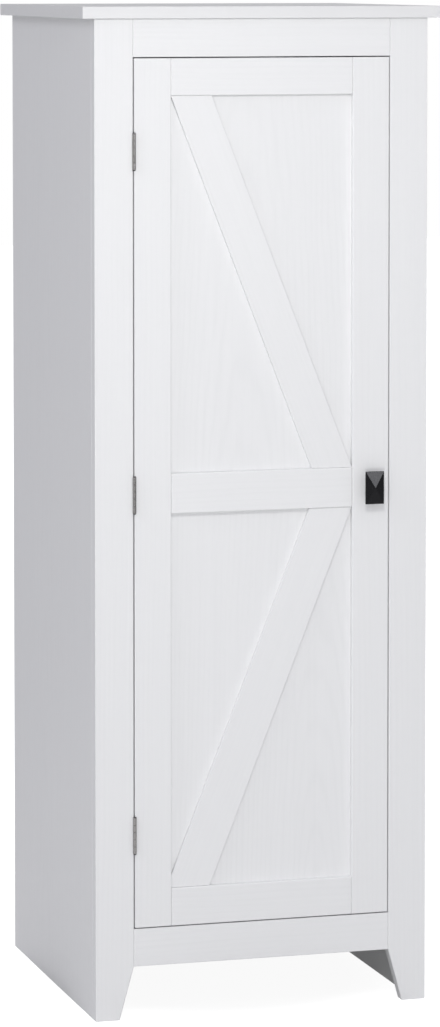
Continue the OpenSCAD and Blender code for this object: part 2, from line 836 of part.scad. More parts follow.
// A brace is [side of its low end, height of its low end, rise, step, toe]
upper_brace_line = [1, upper_panel_z, upper_rise, brace_step(upper_brace_w, upper_rise, 0), 0];
lower_brace_line = [-1, lower_panel_z, lower_rise,
                    brace_step(lower_brace_w, lower_rise, lower_brace_toe), lower_brace_toe];

// A brace from one corner of the opening to the other, cut to its rails and stiles
module brace(line) {
    side = line[0];
    rise = line[2];
    step = line[3];
    toe = line[4];
    color(white_paint) difference() {
        translate([0, panel_front_y, line[1]]) rotate([90, 0, 0]) linear_extrude(brace_t)
            intersection() {
                translate([-panel_x, 0]) square([opening_w, rise]);
                polygon([
                    [side * (panel_x + toe), 0], [side * (panel_x + toe - step), 0],
                    [-side * panel_x, rise], [-side * (panel_x - step), rise]
                ]);
            }
        brace_screws_at(brace_screw_points(line), fit);
    }
}

module upper_brace() brace(upper_brace_line);
module lower_brace() brace(lower_brace_line);

// The screws follow the brace's middle line
function brace_screw_points(line) = [
    for (i = [0 : brace_screws_each - 1])
        let (rise = line[2], half_step = line[3] / 2,
             up = brace_screw_inset + i * (rise - 2 * brace_screw_inset) / (brace_screws_each - 1),
             low_x = line[0] * (panel_x + line[4] - half_step), high_x = -line[0] * (panel_x - half_step))
            [low_x + (high_x - low_x) * up / rise, line[1] + up]
];

module brace_screws_at(points, gap) {
    for (p = points)
        flat_screw([p[0], panel_back_y, p[1]], FRONT, brace_screw_head_r, brace_screw_cone,
                   brace_screw_len, gap);
}

module brace_screws() {
    color(zinc) {
        brace_screws_at(brace_screw_points(upper_brace_line), 0);
        brace_screws_at(brace_screw_points(lower_brace_line), 0);
    }
}

// ---- Hinges ----
// The knuckles of one leaf, counted from below: even ones on the frame, odd ones on the door
module knuckle_run(mid_z, first, r) {
    for (i = [first : 2 : knuckles - 1])
        rod([pin_line_x, pin_line_y, mid_z - leaf_h / 2 + i * knuckle_h + knuckle_gap / 2], UP,
            r, knuckle_h - knuckle_gap);
}

// A leaf lies flat in the door gap: s is -1 on the frame's side and 1 on the door's
module hinge_leaf(mid_z, s) {
    first = s < 0 ? 0 : 1;
    far_x = pin_line_x + s * door_gap / 2;
    near_x = far_x - s * leaf_t;
    low_x = min(far_x, near_x);
    high_x = max(far_x, near_x);
    clear_y = pin_line_y + barrel_r + knuckle_clear;
    color(nickel) difference() {
        union() {
            knuckle_run(mid_z, first, barrel_r);
            board([low_x, clear_y, mid_z - leaf_h / 2], [high_x, front_y + leaf_depth, mid_z + leaf_h / 2]);
            for (i = [first : 2 : knuckles - 1]) {
                low = mid_z - leaf_h / 2 + i * knuckle_h + knuckle_gap / 2;
                board([low_x, pin_line_y, low], [high_x, clear_y + over, low + knuckle_h - knuckle_gap]);
            }
        }
        rod([pin_line_x, pin_line_y, mid_z - leaf_h / 2 - over], UP, hinge_pin_r + hinge_pin_fit,
            leaf_h + 2 * over);
        hinge_screw_cuts(s);
    }
}

module hinge_pin(mid_z) {
    color(steel) {
        rod([pin_line_x, pin_line_y, mid_z - leaf_h / 2], UP, hinge_pin_r, leaf_h);
        rod([pin_line_x, pin_line_y, mid_z + leaf_h / 2], UP, pin_tip_r, pin_tip_h);
        rod([pin_line_x, pin_line_y, mid_z - leaf_h / 2], DOWN, pin_tip_r, pin_tip_h);
    }
}

// The three screws of every leaf on side s, from the leaf's open face into the wood
module hinge_screw_run(s, gap) {
    face_x = pin_line_x + s * (door_gap / 2 - leaf_t);
    for (mid_z = hinge_heights, i = [-1 : 1]) {
        screw_y = leaf_screw_line_y + (i == 0 ? leaf_screw_stagger : 0);
        flat_screw([face_x, screw_y, mid_z + i * leaf_screw_pitch], s < 0 ? LEFT : RIGHT,
                   hinge_screw_head_r, hinge_screw_cone, hinge_screw_len, gap);
    }
}

module hinge_screw_cuts(s) hinge_screw_run(s, fit);

module lower_hinge_frame_leaf() hinge_leaf(lower_hinge_z, -1);
module lower_hinge_door_leaf() hinge_leaf(lower_hinge_z, 1);
module lower_hinge_pin() hinge_pin(lower_hinge_z);
module middle_hinge_frame_leaf() hinge_leaf(middle_hinge_z, -1);
module middle_hinge_door_leaf() hinge_leaf(middle_hinge_z, 1);
module middle_hinge_pin() hinge_pin(middle_hinge_z);
module upper_hinge_frame_leaf() hinge_leaf(upper_hinge_z, -1);
module upper_hinge_door_leaf() hinge_leaf(upper_hinge_z, 1);
module upper_hinge_pin() hinge_pin(upper_hinge_z);

module hinge_frame_screws() {
    color(nickel) hinge_screw_run(-1, 0);
}

module hinge_door_screws() {
    color(nickel) hinge_screw_run(1, 0);
}

// ---- Knob ----
module knob() {
    color(black_metal) difference() {
        union() {
            rod([knob_x, front_y, knob_z], FRONT, knob_stem_r, front_y - knob_head_y);
            board([knob_x - knob_w / 2, knob_head_y - knob_rim_t, knob_z - knob_h / 2],
                  [knob_x + knob_w / 2, knob_head_y, knob_z + knob_h / 2]);
            translate([knob_x, knob_head_y - knob_rim_t, knob_z]) rotate(turn(FRONT))
                linear_extrude(height = knob_point_t, scale = 0) square([knob_w, knob_h], center = true);
        }
        rod([knob_x, front_y + over, knob_z], FRONT, knob_screw_r + fit, over + knob_grip + hole_end_gap);
    }
}

module knob_washer() {
    color(zinc) difference() {
        rod([knob_x, door_back_y, knob_z], BACK, knob_washer_r, knob_washer_t);
        rod([knob_x, door_back_y - over, knob_z], BACK, knob_screw_r + fit, knob_washer_t + 2 * over);
    }
}

module knob_screw() {
    head_y = door_back_y + knob_washer_t;
    slot_w = 1;
    slot_d = 1.2;
    color(zinc) difference() {
        union() {
            rod([knob_x, head_y, knob_z], BACK, knob_screw_head_r, knob_screw_head_h);
            rod([knob_x, head_y, knob_z], FRONT, knob_screw_r, head_y - front_y + knob_grip);
        }
        board([knob_x - knob_screw_head_r, head_y + knob_screw_head_h - slot_d, knob_z - slot_w / 2],
              [knob_x + knob_screw_head_r, head_y + knob_screw_head_h + over, knob_z + slot_w / 2]);
    }
}

// ---- Magnetic catch ----
module catch_body() {
    color(white_plastic) difference() {
        union() {
            board([catch_left_x, catch_front_y, catch_z - catch_h / 2],
                  [catch_right_x, catch_back_y, catch_z + catch_h / 2]);
            board([open_x - catch_w / 2, frame_back_y, catch_z - catch_h / 2],
                  [open_x + catch_flange_w, frame_back_y + catch_flange_t, catch_z + catch_h / 2]);
        }
        board([pocket_left_x, catch_front_y - over, catch_z - magnet_h / 2],
              [pocket_right_x, pocket_back_y, catch_z + magnet_h / 2]);
        catch_screws_shape(fit);
    }
}

// The pole plates line the pocket and the magnet fills the space between them
module catch_pole_plates() {
    color(steel) {
        board([pocket_left_x, pole_front_y, catch_z - magnet_h / 2],
              [pocket_left_x + pole_t, pocket_back_y, catch_z + magnet_h / 2]);
        board([pocket_right_x - pole_t, pole_front_y, catch_z - magnet_h / 2],
              [pocket_right_x, pocket_back_y, catch_z + magnet_h / 2]);
    }
}

module catch_magnet() {
    color(magnet_grey)
        board([pocket_left_x + pole_t, catch_front_y + pole_proud, catch_z - magnet_h / 2],
              [pocket_right_x - pole_t, pocket_back_y, catch_z + magnet_h / 2]);
}

module catch_screws_shape(gap) {
    for (s = [-1, 1]) {
        head = [catch_screw_x, frame_back_y + catch_flange_t, catch_z + s * catch_screw_up];
        rod(head, FRONT, screw_r + gap, catch_screw_len + end_gap(gap));
        if (gap == 0) rod(head, BACK, catch_screw_head_r, catch_screw_head_h);
    }
}

module catch_screws() {
    color(zinc) catch_screws_shape(0);
}

module strike_plate() {
    color(steel) difference() {
        board([strike_x - strike_w / 2, door_back_y, catch_z - strike_h / 2],
              [strike_x + strike_w / 2, strike_back_y, catch_z + strike_h / 2]);
        strike_screw_shape(fit);
    }
}

module strike_screw_shape(gap) {
    flat_screw([strike_x, strike_back_y, catch_z], FRONT, brace_screw_head_r, brace_screw_cone,
               strike_screw_len, gap);
}

module strike_screw() {
    color(zinc) strike_screw_shape(0);
}

top_board();
left_side_panel();
right_side_panel();
bottom_board();
top_back_rail();
bottom_back_rail();
upper_back_panel();
lower_back_panel();
back_seam_strip();
back_nails();
left_frame_stile();
right_frame_stile();
top_frame_rail();
bottom_frame_rail();
cam_locks();
cam_bolts();
carcass_dowels();
frame_dowels();
hat_shelf();
shelf_pins();
peg_rail();
broom_peg_1();
broom_peg_2();
broom_peg_3();
broom_peg_4();
lower_hinge_frame_leaf();
middle_hinge_frame_leaf();
upper_hinge_frame_leaf();
lower_hinge_pin();
middle_hinge_pin();
upper_hinge_pin();
hinge_frame_screws();
catch_body();
catch_pole_plates();
catch_magnet();
catch_screws();
door_hinge_stile();
door_knob_stile();
door_top_rail();
door_middle_rail();
door_bottom_rail();
upper_door_panel();
lower_door_panel();
upper_brace();
lower_brace();
brace_screws();
lower_hinge_door_leaf();
middle_hinge_door_leaf();
upper_hinge_door_leaf();
hinge_door_screws();
knob();
knob_washer();
knob_screw();
strike_plate();
strike_screw();
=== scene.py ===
"""A tall white-painted broom cupboard with one framed door: its shaped pieces, finishes and studio."""

import logging
import math
from collections.abc import Callable, Sequence
from dataclasses import dataclass
from enum import Enum
from itertools import pairwise

import bpy
from mathutils import Matrix, Vector


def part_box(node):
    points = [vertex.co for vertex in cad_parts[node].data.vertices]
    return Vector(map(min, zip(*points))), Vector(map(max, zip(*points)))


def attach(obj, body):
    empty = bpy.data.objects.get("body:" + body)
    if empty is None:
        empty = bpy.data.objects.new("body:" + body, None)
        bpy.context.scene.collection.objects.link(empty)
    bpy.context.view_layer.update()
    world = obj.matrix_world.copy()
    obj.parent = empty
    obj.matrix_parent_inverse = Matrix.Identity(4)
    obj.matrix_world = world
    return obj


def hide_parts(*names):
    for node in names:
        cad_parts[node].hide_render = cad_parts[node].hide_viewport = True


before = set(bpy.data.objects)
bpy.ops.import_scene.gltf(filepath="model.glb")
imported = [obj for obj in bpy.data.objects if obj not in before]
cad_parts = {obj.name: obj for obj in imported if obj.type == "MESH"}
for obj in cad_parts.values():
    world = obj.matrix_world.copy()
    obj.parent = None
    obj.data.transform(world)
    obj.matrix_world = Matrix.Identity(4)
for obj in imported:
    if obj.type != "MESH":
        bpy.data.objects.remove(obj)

LOG = logging.getLogger("broom_cupboard")
MM = 0.001

# How near two vertices are when they count as one, on a turned piece and on a CAD node
ONE_SPOT = 0.001 * MM
ONE_CAD_SPOT = 0.002 * MM
# The longest edge that a cut leaves by accident
SLIVER = 0.005 * MM

# The values between which smooth noise mostly lies, and a narrower reach for more contrast
NOISE_REACH = (0.3, 0.7)
CRISP_REACH = (0.35, 0.65)
WHITE = (1.0, 1.0, 1.0, 1.0)

RIGHT = Vector((1, 0, 0))
BACK = Vector((0, 1, 0))
FRONT = Vector((0, -1, 0))
UP = Vector((0, 0, 1))

Piece = bpy.types.Object
Socket = bpy.types.NodeSocket
Colour = tuple[float, float, float]
Box = tuple[Vector, Vector]
Profile = Sequence[tuple[float, float]]


# ---- Modelling ----


class Carving(Enum):
    """What a tool shape does to the piece that it meets."""

    CUT = "DIFFERENCE"
    ADD = "UNION"


class Bench:
    """Blender's modelling operators, each used on a clean selection."""

    @staticmethod
    def hold(*pieces: Piece) -> Piece:
        """Select only some pieces.

        Args:
            pieces: The pieces to select. The first one becomes the active one.

        Returns:
            The active piece.
        """
        bpy.ops.object.select_all(action="DESELECT")
        for piece in pieces:
            piece.select_set(True)
        bpy.context.view_layer.objects.active = pieces[0]
        return pieces[0]

    @staticmethod
    def settle(piece: Piece) -> Piece:
        """Move a piece's place, turn and scale into its mesh.

        Args:
            piece: A piece that was placed by its object.

        Returns:
            The same piece, with its object at the origin.
        """
        Bench.hold(piece)
        bpy.ops.object.transform_apply(location=True, rotation=True, scale=True)
        return piece

    @staticmethod
    def block(name: str, low: Sequence[float], high: Sequence[float]) -> Piece:
        """Make a straight block.

        Args:
            name: The new piece's name.
            low: Its lowest corner.
            high: Its highest corner.

        Returns:
            The block.
        """
        low, high = Vector(low), Vector(high)
        bpy.ops.object.select_all(action="DESELECT")
        bpy.ops.mesh.primitive_cube_add(size=1, location=(low + high) / 2)
        piece = bpy.context.object
        piece.name = piece.data.name = name
        piece.scale = high - low
        return Bench.settle(piece)

    @staticmethod
    def pick(piece: Piece, test: Callable[[Vector], bool]) -> None:
        """Enter edit mode with the vertices that pass a test selected, and what they bound.

        Args:
            piece: The piece to edit.
            test: Takes a vertex's place and says whether it is selected.
        """
        Bench.hold(piece)
        bpy.ops.object.mode_set(mode="EDIT")
        bpy.ops.mesh.select_mode(type="VERT")
        bpy.ops.mesh.select_all(action="DESELECT")
        bpy.ops.object.mode_set(mode="OBJECT")
        for vertex in piece.data.vertices:
            vertex.select = test(vertex.co)
        bpy.ops.object.mode_set(mode="EDIT")

    @staticmethod
    def pick_edges(piece: Piece, test: Callable[[Vector], bool]) -> None:
        """Enter edit mode with the edges whose middle passes a test selected.

        Args:
            piece: The piece to edit.
            test: Takes the middle of an edge and says whether it is selected.
        """
        Bench.pick(piece, lambda place: False)
        bpy.ops.mesh.select_mode(type="EDGE")
        bpy.ops.object.mode_set(mode="OBJECT")
        places = [vertex.co for vertex in piece.data.vertices]
        for edge in piece.data.edges:
            edge.select = test((places[edge.vertices[0]] + places[edge.vertices[1]]) / 2)
        bpy.ops.object.mode_set(mode="EDIT")

    @staticmethod
    def leave() -> None:
        """Go back to object mode."""
        bpy.ops.object.mode_set(mode="OBJECT")

    @staticmethod
    def slice(piece: Piece, point: Sequence[float], normal: Sequence[float], drop: bool) -> None:
        """Cut a piece along a plane.

        Args:
            piece: The piece to cut.
            point: A point on the plane.
            normal: The plane's normal.
            drop: Whether the side that the normal points to is thrown away and the cut closed.
        """
        Bench.pick(piece, lambda place: True)
        bpy.ops.mesh.bisect(plane_co=point, plane_no=normal, use_fill=drop, clear_outer=drop)
        Bench.leave()

    @staticmethod
    def ease(
        piece: Piece, width: float, segments: int = 2, sharper_than: float = 30.0,
        softest: float = 0.0, softer_at: Callable[[Vector], bool] | None = None,
    ) -> Piece:
        """Round a piece's sharp edges, and some of them more than the rest.

        Args:
            piece: The piece to soften.
            width: The width of each rounded edge.
            segments: How many faces the rounding has.
            sharper_than: The least angle, in degrees, of an edge that is rounded.
            softest: The width of the edges that are rounded more.
            softer_at: Takes the middle of an edge and says whether it is such a one.

        Returns:
            The same piece.
        """
        widest = max(width, softest)
        Bench.hold(piece)
        bpy.ops.object.mode_set(mode="EDIT")
        bpy.ops.mesh.select_mode(type="EDGE")
        bpy.ops.mesh.select_all(action="DESELECT")
        bpy.ops.mesh.edges_select_sharp(sharpness=math.radians(sharper_than))
        bpy.ops.transform.edge_bevelweight(value=width / widest)
        Bench.leave()
        if softer_at:
            Bench.pick_edges(piece, softer_at)
            bpy.ops.transform.edge_bevelweight(value=1 - width / widest)
            Bench.leave()
        Bench.hold(piece)
        bpy.ops.object.modifier_add(type="BEVEL")
        rounding = piece.modifiers[-1]
        rounding.width = widest
        rounding.segments = segments
        rounding.limit_method = "WEIGHT"
        bpy.ops.object.modifier_apply(modifier=rounding.name)
        return piece

    @staticmethod
    def join(name: str, *pieces: Piece) -> Piece:
        """Make several pieces one.

        Args:
            name: The name of the result.
            pieces: The pieces to join.

        Returns:
            The joined piece.
        """
        piece = Bench.hold(*pieces)
        if len(pieces) > 1:
            bpy.ops.object.join()
        piece.name = piece.data.name = name
        return piece

    @staticmethod
    def carve(piece: Piece, how: Carving, *tools: Piece) -> Piece:
        """Cut tool shapes out of a piece, or add them to it.

        Args:
            piece: The piece that stays.
            how: Whether the tools cut or add.
            tools: The tool shapes, which are clear of each other and are used up.

        Returns:
            The same piece.
        """
        tool = Bench.join("tool", *tools)
        Bench.hold(piece)
        bpy.ops.object.modifier_add(type="BOOLEAN")
        step = piece.modifiers[-1]
        step.operation = how.value
        step.solver = "EXACT"
        step.object = tool
        bpy.ops.object.modifier_apply(modifier=step.name)
        bpy.data.objects.remove(tool, do_unlink=True)
        return piece

    @staticmethod
    def smooth(piece: Piece, below: float = 30.0) -> Piece:
        """Shade a piece smooth where its faces meet at a small angle.

        Args:
            piece: The piece to shade.
            below: The angle in degrees under which an edge is shaded smooth.

        Returns:
            The same piece.
        """
        Bench.hold(piece)
        bpy.ops.object.shade_smooth_by_angle(angle=math.radians(below))
        return piece

    @staticmethod
    def turned(
        name: str, start: Sequence[float], along: Vector, profile: Profile, sides: int = 32
    ) -> Piece:
        """Turn a round piece, as on a lathe.

        Args:
            name: The new piece's name.
            start: The point from which the profile's distances count.
            along: The direction of the round piece's axis.
            profile: Distances along the axis, each with the radius there.
            sides: How many sides the round has.

        Returns:
            The turned piece.
        """
        bpy.ops.object.select_all(action="DESELECT")
        first, radius = profile[0]
        bpy.ops.mesh.primitive_circle_add(
            vertices=sides, radius=radius, fill_type="NGON", location=(0, 0, first)
        )
        piece = Bench.settle(bpy.context.object)
        Bench.pick(piece, lambda place: True)
        for (near, near_radius), (far, far_radius) in pairwise(profile):
            bpy.ops.mesh.extrude_region_move(TRANSFORM_OT_translate={"value": (0, 0, far - near)})
            share = far_radius / near_radius
            bpy.ops.transform.resize(value=(share, share, 1), center_override=(0, 0, 0))
        bpy.ops.mesh.select_all(action="SELECT")
        bpy.ops.mesh.remove_doubles(threshold=ONE_SPOT)
        bpy.ops.mesh.normals_make_consistent(inside=False)
        Bench.leave()
        piece.name = piece.data.name = name
        aim = along.to_track_quat("Z", "Y").to_matrix().to_4x4()
        piece.matrix_world = Matrix.Translation(Vector(start)) @ aim
        return Bench.smooth(Bench.settle(piece))

    @staticmethod
    def rod(start: Sequence[float], along: Vector, radius: float, length: float) -> Piece:
        """Make a plain round tool shape from a point along a direction."""
        return Bench.turned("tool", start, along, ((0.0, radius), (length, radius)))

    @staticmethod
    def countersink(spot: Vector, along: Vector, head: float, cone: float) -> Piece:
        """Make the tool shape that sinks a flat screw head.

        Args:
            spot: The middle of the head's face.
            along: The way that the screw points.
            head: The radius of the sunk hole at the face.
            cone: The depth of the hole's cone.

        Returns:
            The tool shape, which reaches a little out of the face.
        """
        profile = ((-MM, head + MM), (cone, head - cone))
        return Bench.turned("tool", spot, along, profile, sides=24)

    @staticmethod
    def repeat(name: str, model: Piece, shifts: Sequence[Vector]) -> Piece:
        """Copy one modelled shape to several places.

        Args:
            name: The name of the group of copies.
            model: The shape to copy, which is used up.
            shifts: How far each copy is moved from the model.

        Returns:
            One piece that holds all the copies.
        """
        copies = []
        for shift in shifts:
            copy = model.copy()
            copy.data = model.data.copy()
            bpy.context.scene.collection.objects.link(copy)
            copy.location = shift
            copies.append(Bench.settle(copy))
        bpy.data.objects.remove(model, do_unlink=True)
        return Bench.join(name, *copies)

    @staticmethod
    def solids_of(node: str) -> list[Box]:
        """Find the separate solids of a CAD node.

        Args:
            node: The node's name.

        Returns:
            The lowest and highest corner of each solid, from the lowest solid up.
        """
        count = bpy.data.objects.new("count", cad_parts[node].data.copy())
        bpy.context.scene.collection.objects.link(count)
        Bench.pick(count, lambda place: True)
        bpy.ops.mesh.remove_doubles(threshold=ONE_CAD_SPOT)
        bpy.ops.mesh.separate(type="LOOSE")
        Bench.leave()
        boxes = []
        for part in list(bpy.context.selected_objects):
            corners = [Vector(corner) for corner in part.bound_box]
            low = Vector([min(corner[axis] for corner in corners) for axis in range(3)])
            high = Vector([max(corner[axis] for corner in corners) for axis in range(3)])
            boxes.append((low, high))
            bpy.data.objects.remove(part, do_unlink=True)
        return sorted(boxes, key=lambda box: tuple(round(c, 4) for c in (box[0].z, box[0].x, box[0].y)))


def middle(box: Box) -> Vector:
    """Return the middle of a box."""
    return (box[0] + box[1]) / 2


def end_of(box: Box, way: Vector) -> Vector:
    """Return the middle of the side of a box that faces one way along an axis."""
    return middle(box) + way * abs((box[1] - box[0]).dot(way)) / 2


# ---- Shader building ----


class Effect(Enum):
    """The shader node groups that several finishes share."""

    WOOD = "wood_grain"
    BRUSHED = "brushed_lines"
    MOTTLE = "mottle"


class Wiring:
    """A node tree that is being put together."""

    def __init__(self, tree: bpy.types.NodeTree) -> None:
        """Start with an empty tree."""
        self.tree = tree
        tree.nodes.clear()

    def feed(self, socket: Socket, value: object) -> None:
        """Link a socket to an output, or set its value.

        Args:
            socket: The socket to feed.
            value: Another node's output, or a plain value.
        """
        if isinstance(value, bpy.types.NodeSocket):
            self.tree.links.new(value, socket)
        else:
            socket.default_value = value

    def node(
        self, kind: str, inputs: dict[str | int, object] | None = None, **settings: object
    ) -> bpy.types.Node:
        """Add a node.

        Args:
            kind: The node's type in Blender.
            inputs: A value or an output for each input that is used, by name or number.
            settings: The node's own properties.

        Returns:
            The node.
        """
        made = self.tree.nodes.new(kind)
        for name, value in settings.items():
            setattr(made, name, value)
        for key, value in (inputs or {}).items():
            self.feed(made.inputs[key], value)
        return made

    def math(self, operation: str, first: object, second: object = 0.0, clamp: bool = False) -> Socket:
        """Return the output of a Math node on two values."""
        inputs = {0: first, 1: second}
        return self.node("ShaderNodeMath", inputs, operation=operation, use_clamp=clamp).outputs[0]

    def stretch(self, vector: Socket, factors: Sequence[float]) -> Socket:
        """Return a vector with each of its parts multiplied by a factor."""
        inputs = {0: vector, 1: factors}
        return self.node("ShaderNodeVectorMath", inputs, operation="MULTIPLY").outputs[0]

    def along(self, vector: Socket, way: Sequence[float]) -> Socket:
        """Return how far a vector reaches along a direction."""
        inputs = {0: vector, 1: way}
        return self.node("ShaderNodeVectorMath", inputs, operation="DOT_PRODUCT").outputs["Value"]

    def noise(self, vector: Socket, scale: object, detail: float = 2.0) -> Socket:
        """Return smooth noise, mostly between 0.3 and 0.7, with so many features per unit."""
        inputs = {"Vector": vector, "Scale": scale, "Detail": detail}
        return self.node("ShaderNodeTexNoise", inputs).outputs["Fac"]

    def spread(
        self, value: Socket, low: float, high: float, to_low: float = 0.0, to_high: float = 1.0
    ) -> Socket:
        """Return a value mapped smoothly from one range to another, and held at its ends."""
        inputs = {0: value, 1: low, 2: high, 3: to_low, 4: to_high}
        return self.node("ShaderNodeMapRange", inputs, interpolation_type="SMOOTHSTEP").outputs[0]

    def sum(self, *terms: tuple[object, float]) -> Socket:
        """Add values up, each multiplied by its share.

        Args:
            terms: The values, each with its share.

        Returns:
            The sum.
        """
        total: object = 0.0
        for value, share in terms:
            total = self.math("ADD", self.math("MULTIPLY", value, share), total)
        return total

    def blend(self, share: object, first: Colour, second: Colour) -> Socket:
        """Return a mix of two colours, with the second one's share."""
        inputs = {0: share, 6: (*first, 1.0), 7: (*second, 1.0)}
        return self.node("ShaderNodeMix", inputs, data_type="RGBA").outputs[2]

    def bump(self, height: Socket, depth: float, strength: float) -> Socket:
        """Return a normal that is tilted by a height of so many metres."""
        inputs = {"Height": height, "Distance": depth, "Strength": strength}
        return self.node("ShaderNodeBump", inputs).outputs[0]

    def effect(self, effect: Effect, inputs: dict[str, object]) -> bpy.types.bpy_prop_collection:
        """Add an effect's node group and feed it.

        Args:
            effect: The effect.
            inputs: What each named input of the group is fed.

        Returns:
            The group's outputs.
        """
        group = self.node("ShaderNodeGroup", node_tree=EffectGroups.get(effect))
        for name, value in inputs.items():
            self.feed(group.inputs[name], value)
        return group.outputs


class EffectGroups:
    """Builds each shared shader node group the first time that a finish asks for it."""

    # Features per metre across, into and along a board
    RING_WOBBLES = (14.0, 14.0, 3.0)
    RING_PATCHES = (9.0, 9.0, 2.5)
    STREAKS = (190.0, 190.0, 2.6)
    PORES = (1100.0, 1100.0, 42.0)
    # How far the growth rings wander, and how narrow their dark lines are
    RING_WANDER = 20 * MM
    RING_SHARPNESS = 3.0
    # The noise values between which a pore starts and is deepest
    PORE_REACH = (0.58, 0.72)
    # Features per metre of the broad lines in brushed metal, and of the clouds
    BROAD_LINES = 40.0
    CLOUDS = 18.0

    @classmethod
    def get(cls, effect: Effect) -> bpy.types.NodeTree:
        """Return the node group of an effect."""
        makers = {Effect.WOOD: cls.wood, Effect.BRUSHED: cls.brushed, Effect.MOTTLE: cls.mottle}
        return bpy.data.node_groups.get(effect.value) or makers[effect]()

    @staticmethod
    def start(effect: Effect, inputs: dict[str, float | None], outputs: Sequence[str]) -> tuple:
        """Start a shader node group with named sockets.

        Args:
            effect: The effect that the group draws.
            inputs: Each input with its default, or None where it is a vector.
            outputs: The names of the outputs, which are values.

        Returns:
            The group's wiring, its inputs as seen inside the group, and its outputs there.
        """
        tree = bpy.data.node_groups.new(effect.value, "ShaderNodeTree")
        wiring = Wiring(tree)
        for name, default in inputs.items():
            kind = "NodeSocketVector" if default is None else "NodeSocketFloat"
            socket = tree.interface.new_socket(name=name, in_out="INPUT", socket_type=kind)
            if default is not None:
                socket.default_value = default
        for name in outputs:
            tree.interface.new_socket(name=name, in_out="OUTPUT", socket_type="NodeSocketFloat")
        return wiring, wiring.node("NodeGroupInput").outputs, wiring.node("NodeGroupOutput").inputs

    @classmethod
    def wood(cls) -> bpy.types.NodeTree:
        """Build the group that draws a board's growth rings, streaks and pores.

        Returns:
            A group that takes a place across, into and along the board, and puts out a tone that is
            low on the dark lines, and the height of the surface.
        """
        inputs = {
            "Vector": None, "Pith Side": 0.0, "Pith Depth": 0.06, "Tilt": 0.08, "Ring": 0.009,
            "Figure": 1.0, "Pores": 1.0,
        }
        wiring, given, result = cls.start(Effect.WOOD, inputs, ("Tone", "Height"))
        vector = given["Vector"]
        parts = wiring.node("ShaderNodeSeparateXYZ", {0: vector}).outputs
        side = wiring.math("SUBTRACT", parts["X"], given["Pith Side"])
        depth = wiring.math("ADD", parts["Y"], given["Pith Depth"])
        depth = wiring.math("ADD", depth, wiring.math("MULTIPLY", parts["Z"], given["Tilt"]))
        side_square = wiring.math("MULTIPLY", side, side)
        depth_square = wiring.math("MULTIPLY", depth, depth)
        from_pith = wiring.math("SQRT", wiring.math("ADD", side_square, depth_square))
        wobble = wiring.noise(wiring.stretch(vector, cls.RING_WOBBLES), 1.0, detail=3.0)
        reach = wiring.sum((from_pith, 1.0), (wobble, cls.RING_WANDER))
        turns = wiring.math("MULTIPLY", wiring.math("DIVIDE", reach, given["Ring"]), 2 * math.pi)
        wave = wiring.sum((wiring.math("SINE", turns), 0.5), (0.5, 1.0))
        patches = wiring.noise(wiring.stretch(vector, cls.RING_PATCHES), 1.0)
        strength = wiring.spread(patches, *CRISP_REACH, 0.35, 1.0)
        shown = wiring.math("MULTIPLY", strength, given["Figure"])
        rings = wiring.math("MULTIPLY", wiring.math("POWER", wave, cls.RING_SHARPNESS), shown)
        streak = wiring.noise(wiring.stretch(vector, cls.STREAKS), 1.0, detail=3.0)
        pits = wiring.noise(wiring.stretch(vector, cls.PORES), 1.0, detail=1.0)
        pore = wiring.math("MULTIPLY", wiring.spread(pits, *cls.PORE_REACH), given["Pores"])
        tone = wiring.sum((streak, 0.9), (rings, -0.45), (pore, -0.3), (0.17, 1.0))
        wiring.feed(result["Tone"], wiring.math("ADD", tone, 0.0, clamp=True))
        wiring.feed(result["Height"], wiring.sum((streak, 0.6), (rings, -0.5), (pore, -0.7)))
        return wiring.tree

    @classmethod
    def brushed(cls) -> bpy.types.NodeTree:
        """Build the group that draws the fine lines of rolled or drawn metal.

        Returns:
            A group that takes a place stretched along the lines, and puts out their tone.
        """
        wiring, given, result = cls.start(Effect.BRUSHED, {"Vector": None, "Scale": 1.0}, ("Tone",))
        fine = wiring.noise(given["Vector"], given["Scale"], detail=4.0)
        broad = wiring.noise(given["Vector"], cls.BROAD_LINES)
        wiring.feed(result["Tone"], wiring.sum((fine, 0.7), (broad, 0.3)))
        return wiring.tree

    @classmethod
    def mottle(cls) -> bpy.types.NodeTree:
        """Build the group that draws soft clouds and a fine speckle, as on moulded or pressed stuff.

        Returns:
            A group that takes a place and puts out the clouds, and the speckle.
        """
        inputs = {"Vector": None, "Scale": 1.0}
        wiring, given, result = cls.start(Effect.MOTTLE, inputs, ("Cloud", "Speckle"))
        for output, scale in (("Cloud", cls.CLOUDS), ("Speckle", given["Scale"])):
            noise = wiring.noise(given["Vector"], scale, detail=3.0)
            wiring.feed(result[output], wiring.spread(noise, *NOISE_REACH))
        return wiring.tree


# ---- Finishes ----


class Grain(Enum):
    """The way a board's grain runs: which directions lie across, into and along the board."""

    UPRIGHT = ((1, 0, 0), (0, 1, 0), (0, 0, 1))
    LEVEL = ((0, 0, -1), (0, 1, 0), (1, 0, 0))
    UPRIGHT_SIDE = ((0, -1, 0), (1, 0, 0), (0, 0, 1))
    LEVEL_FLAT = ((0, 1, 0), (0, 0, 1), (1, 0, 0))


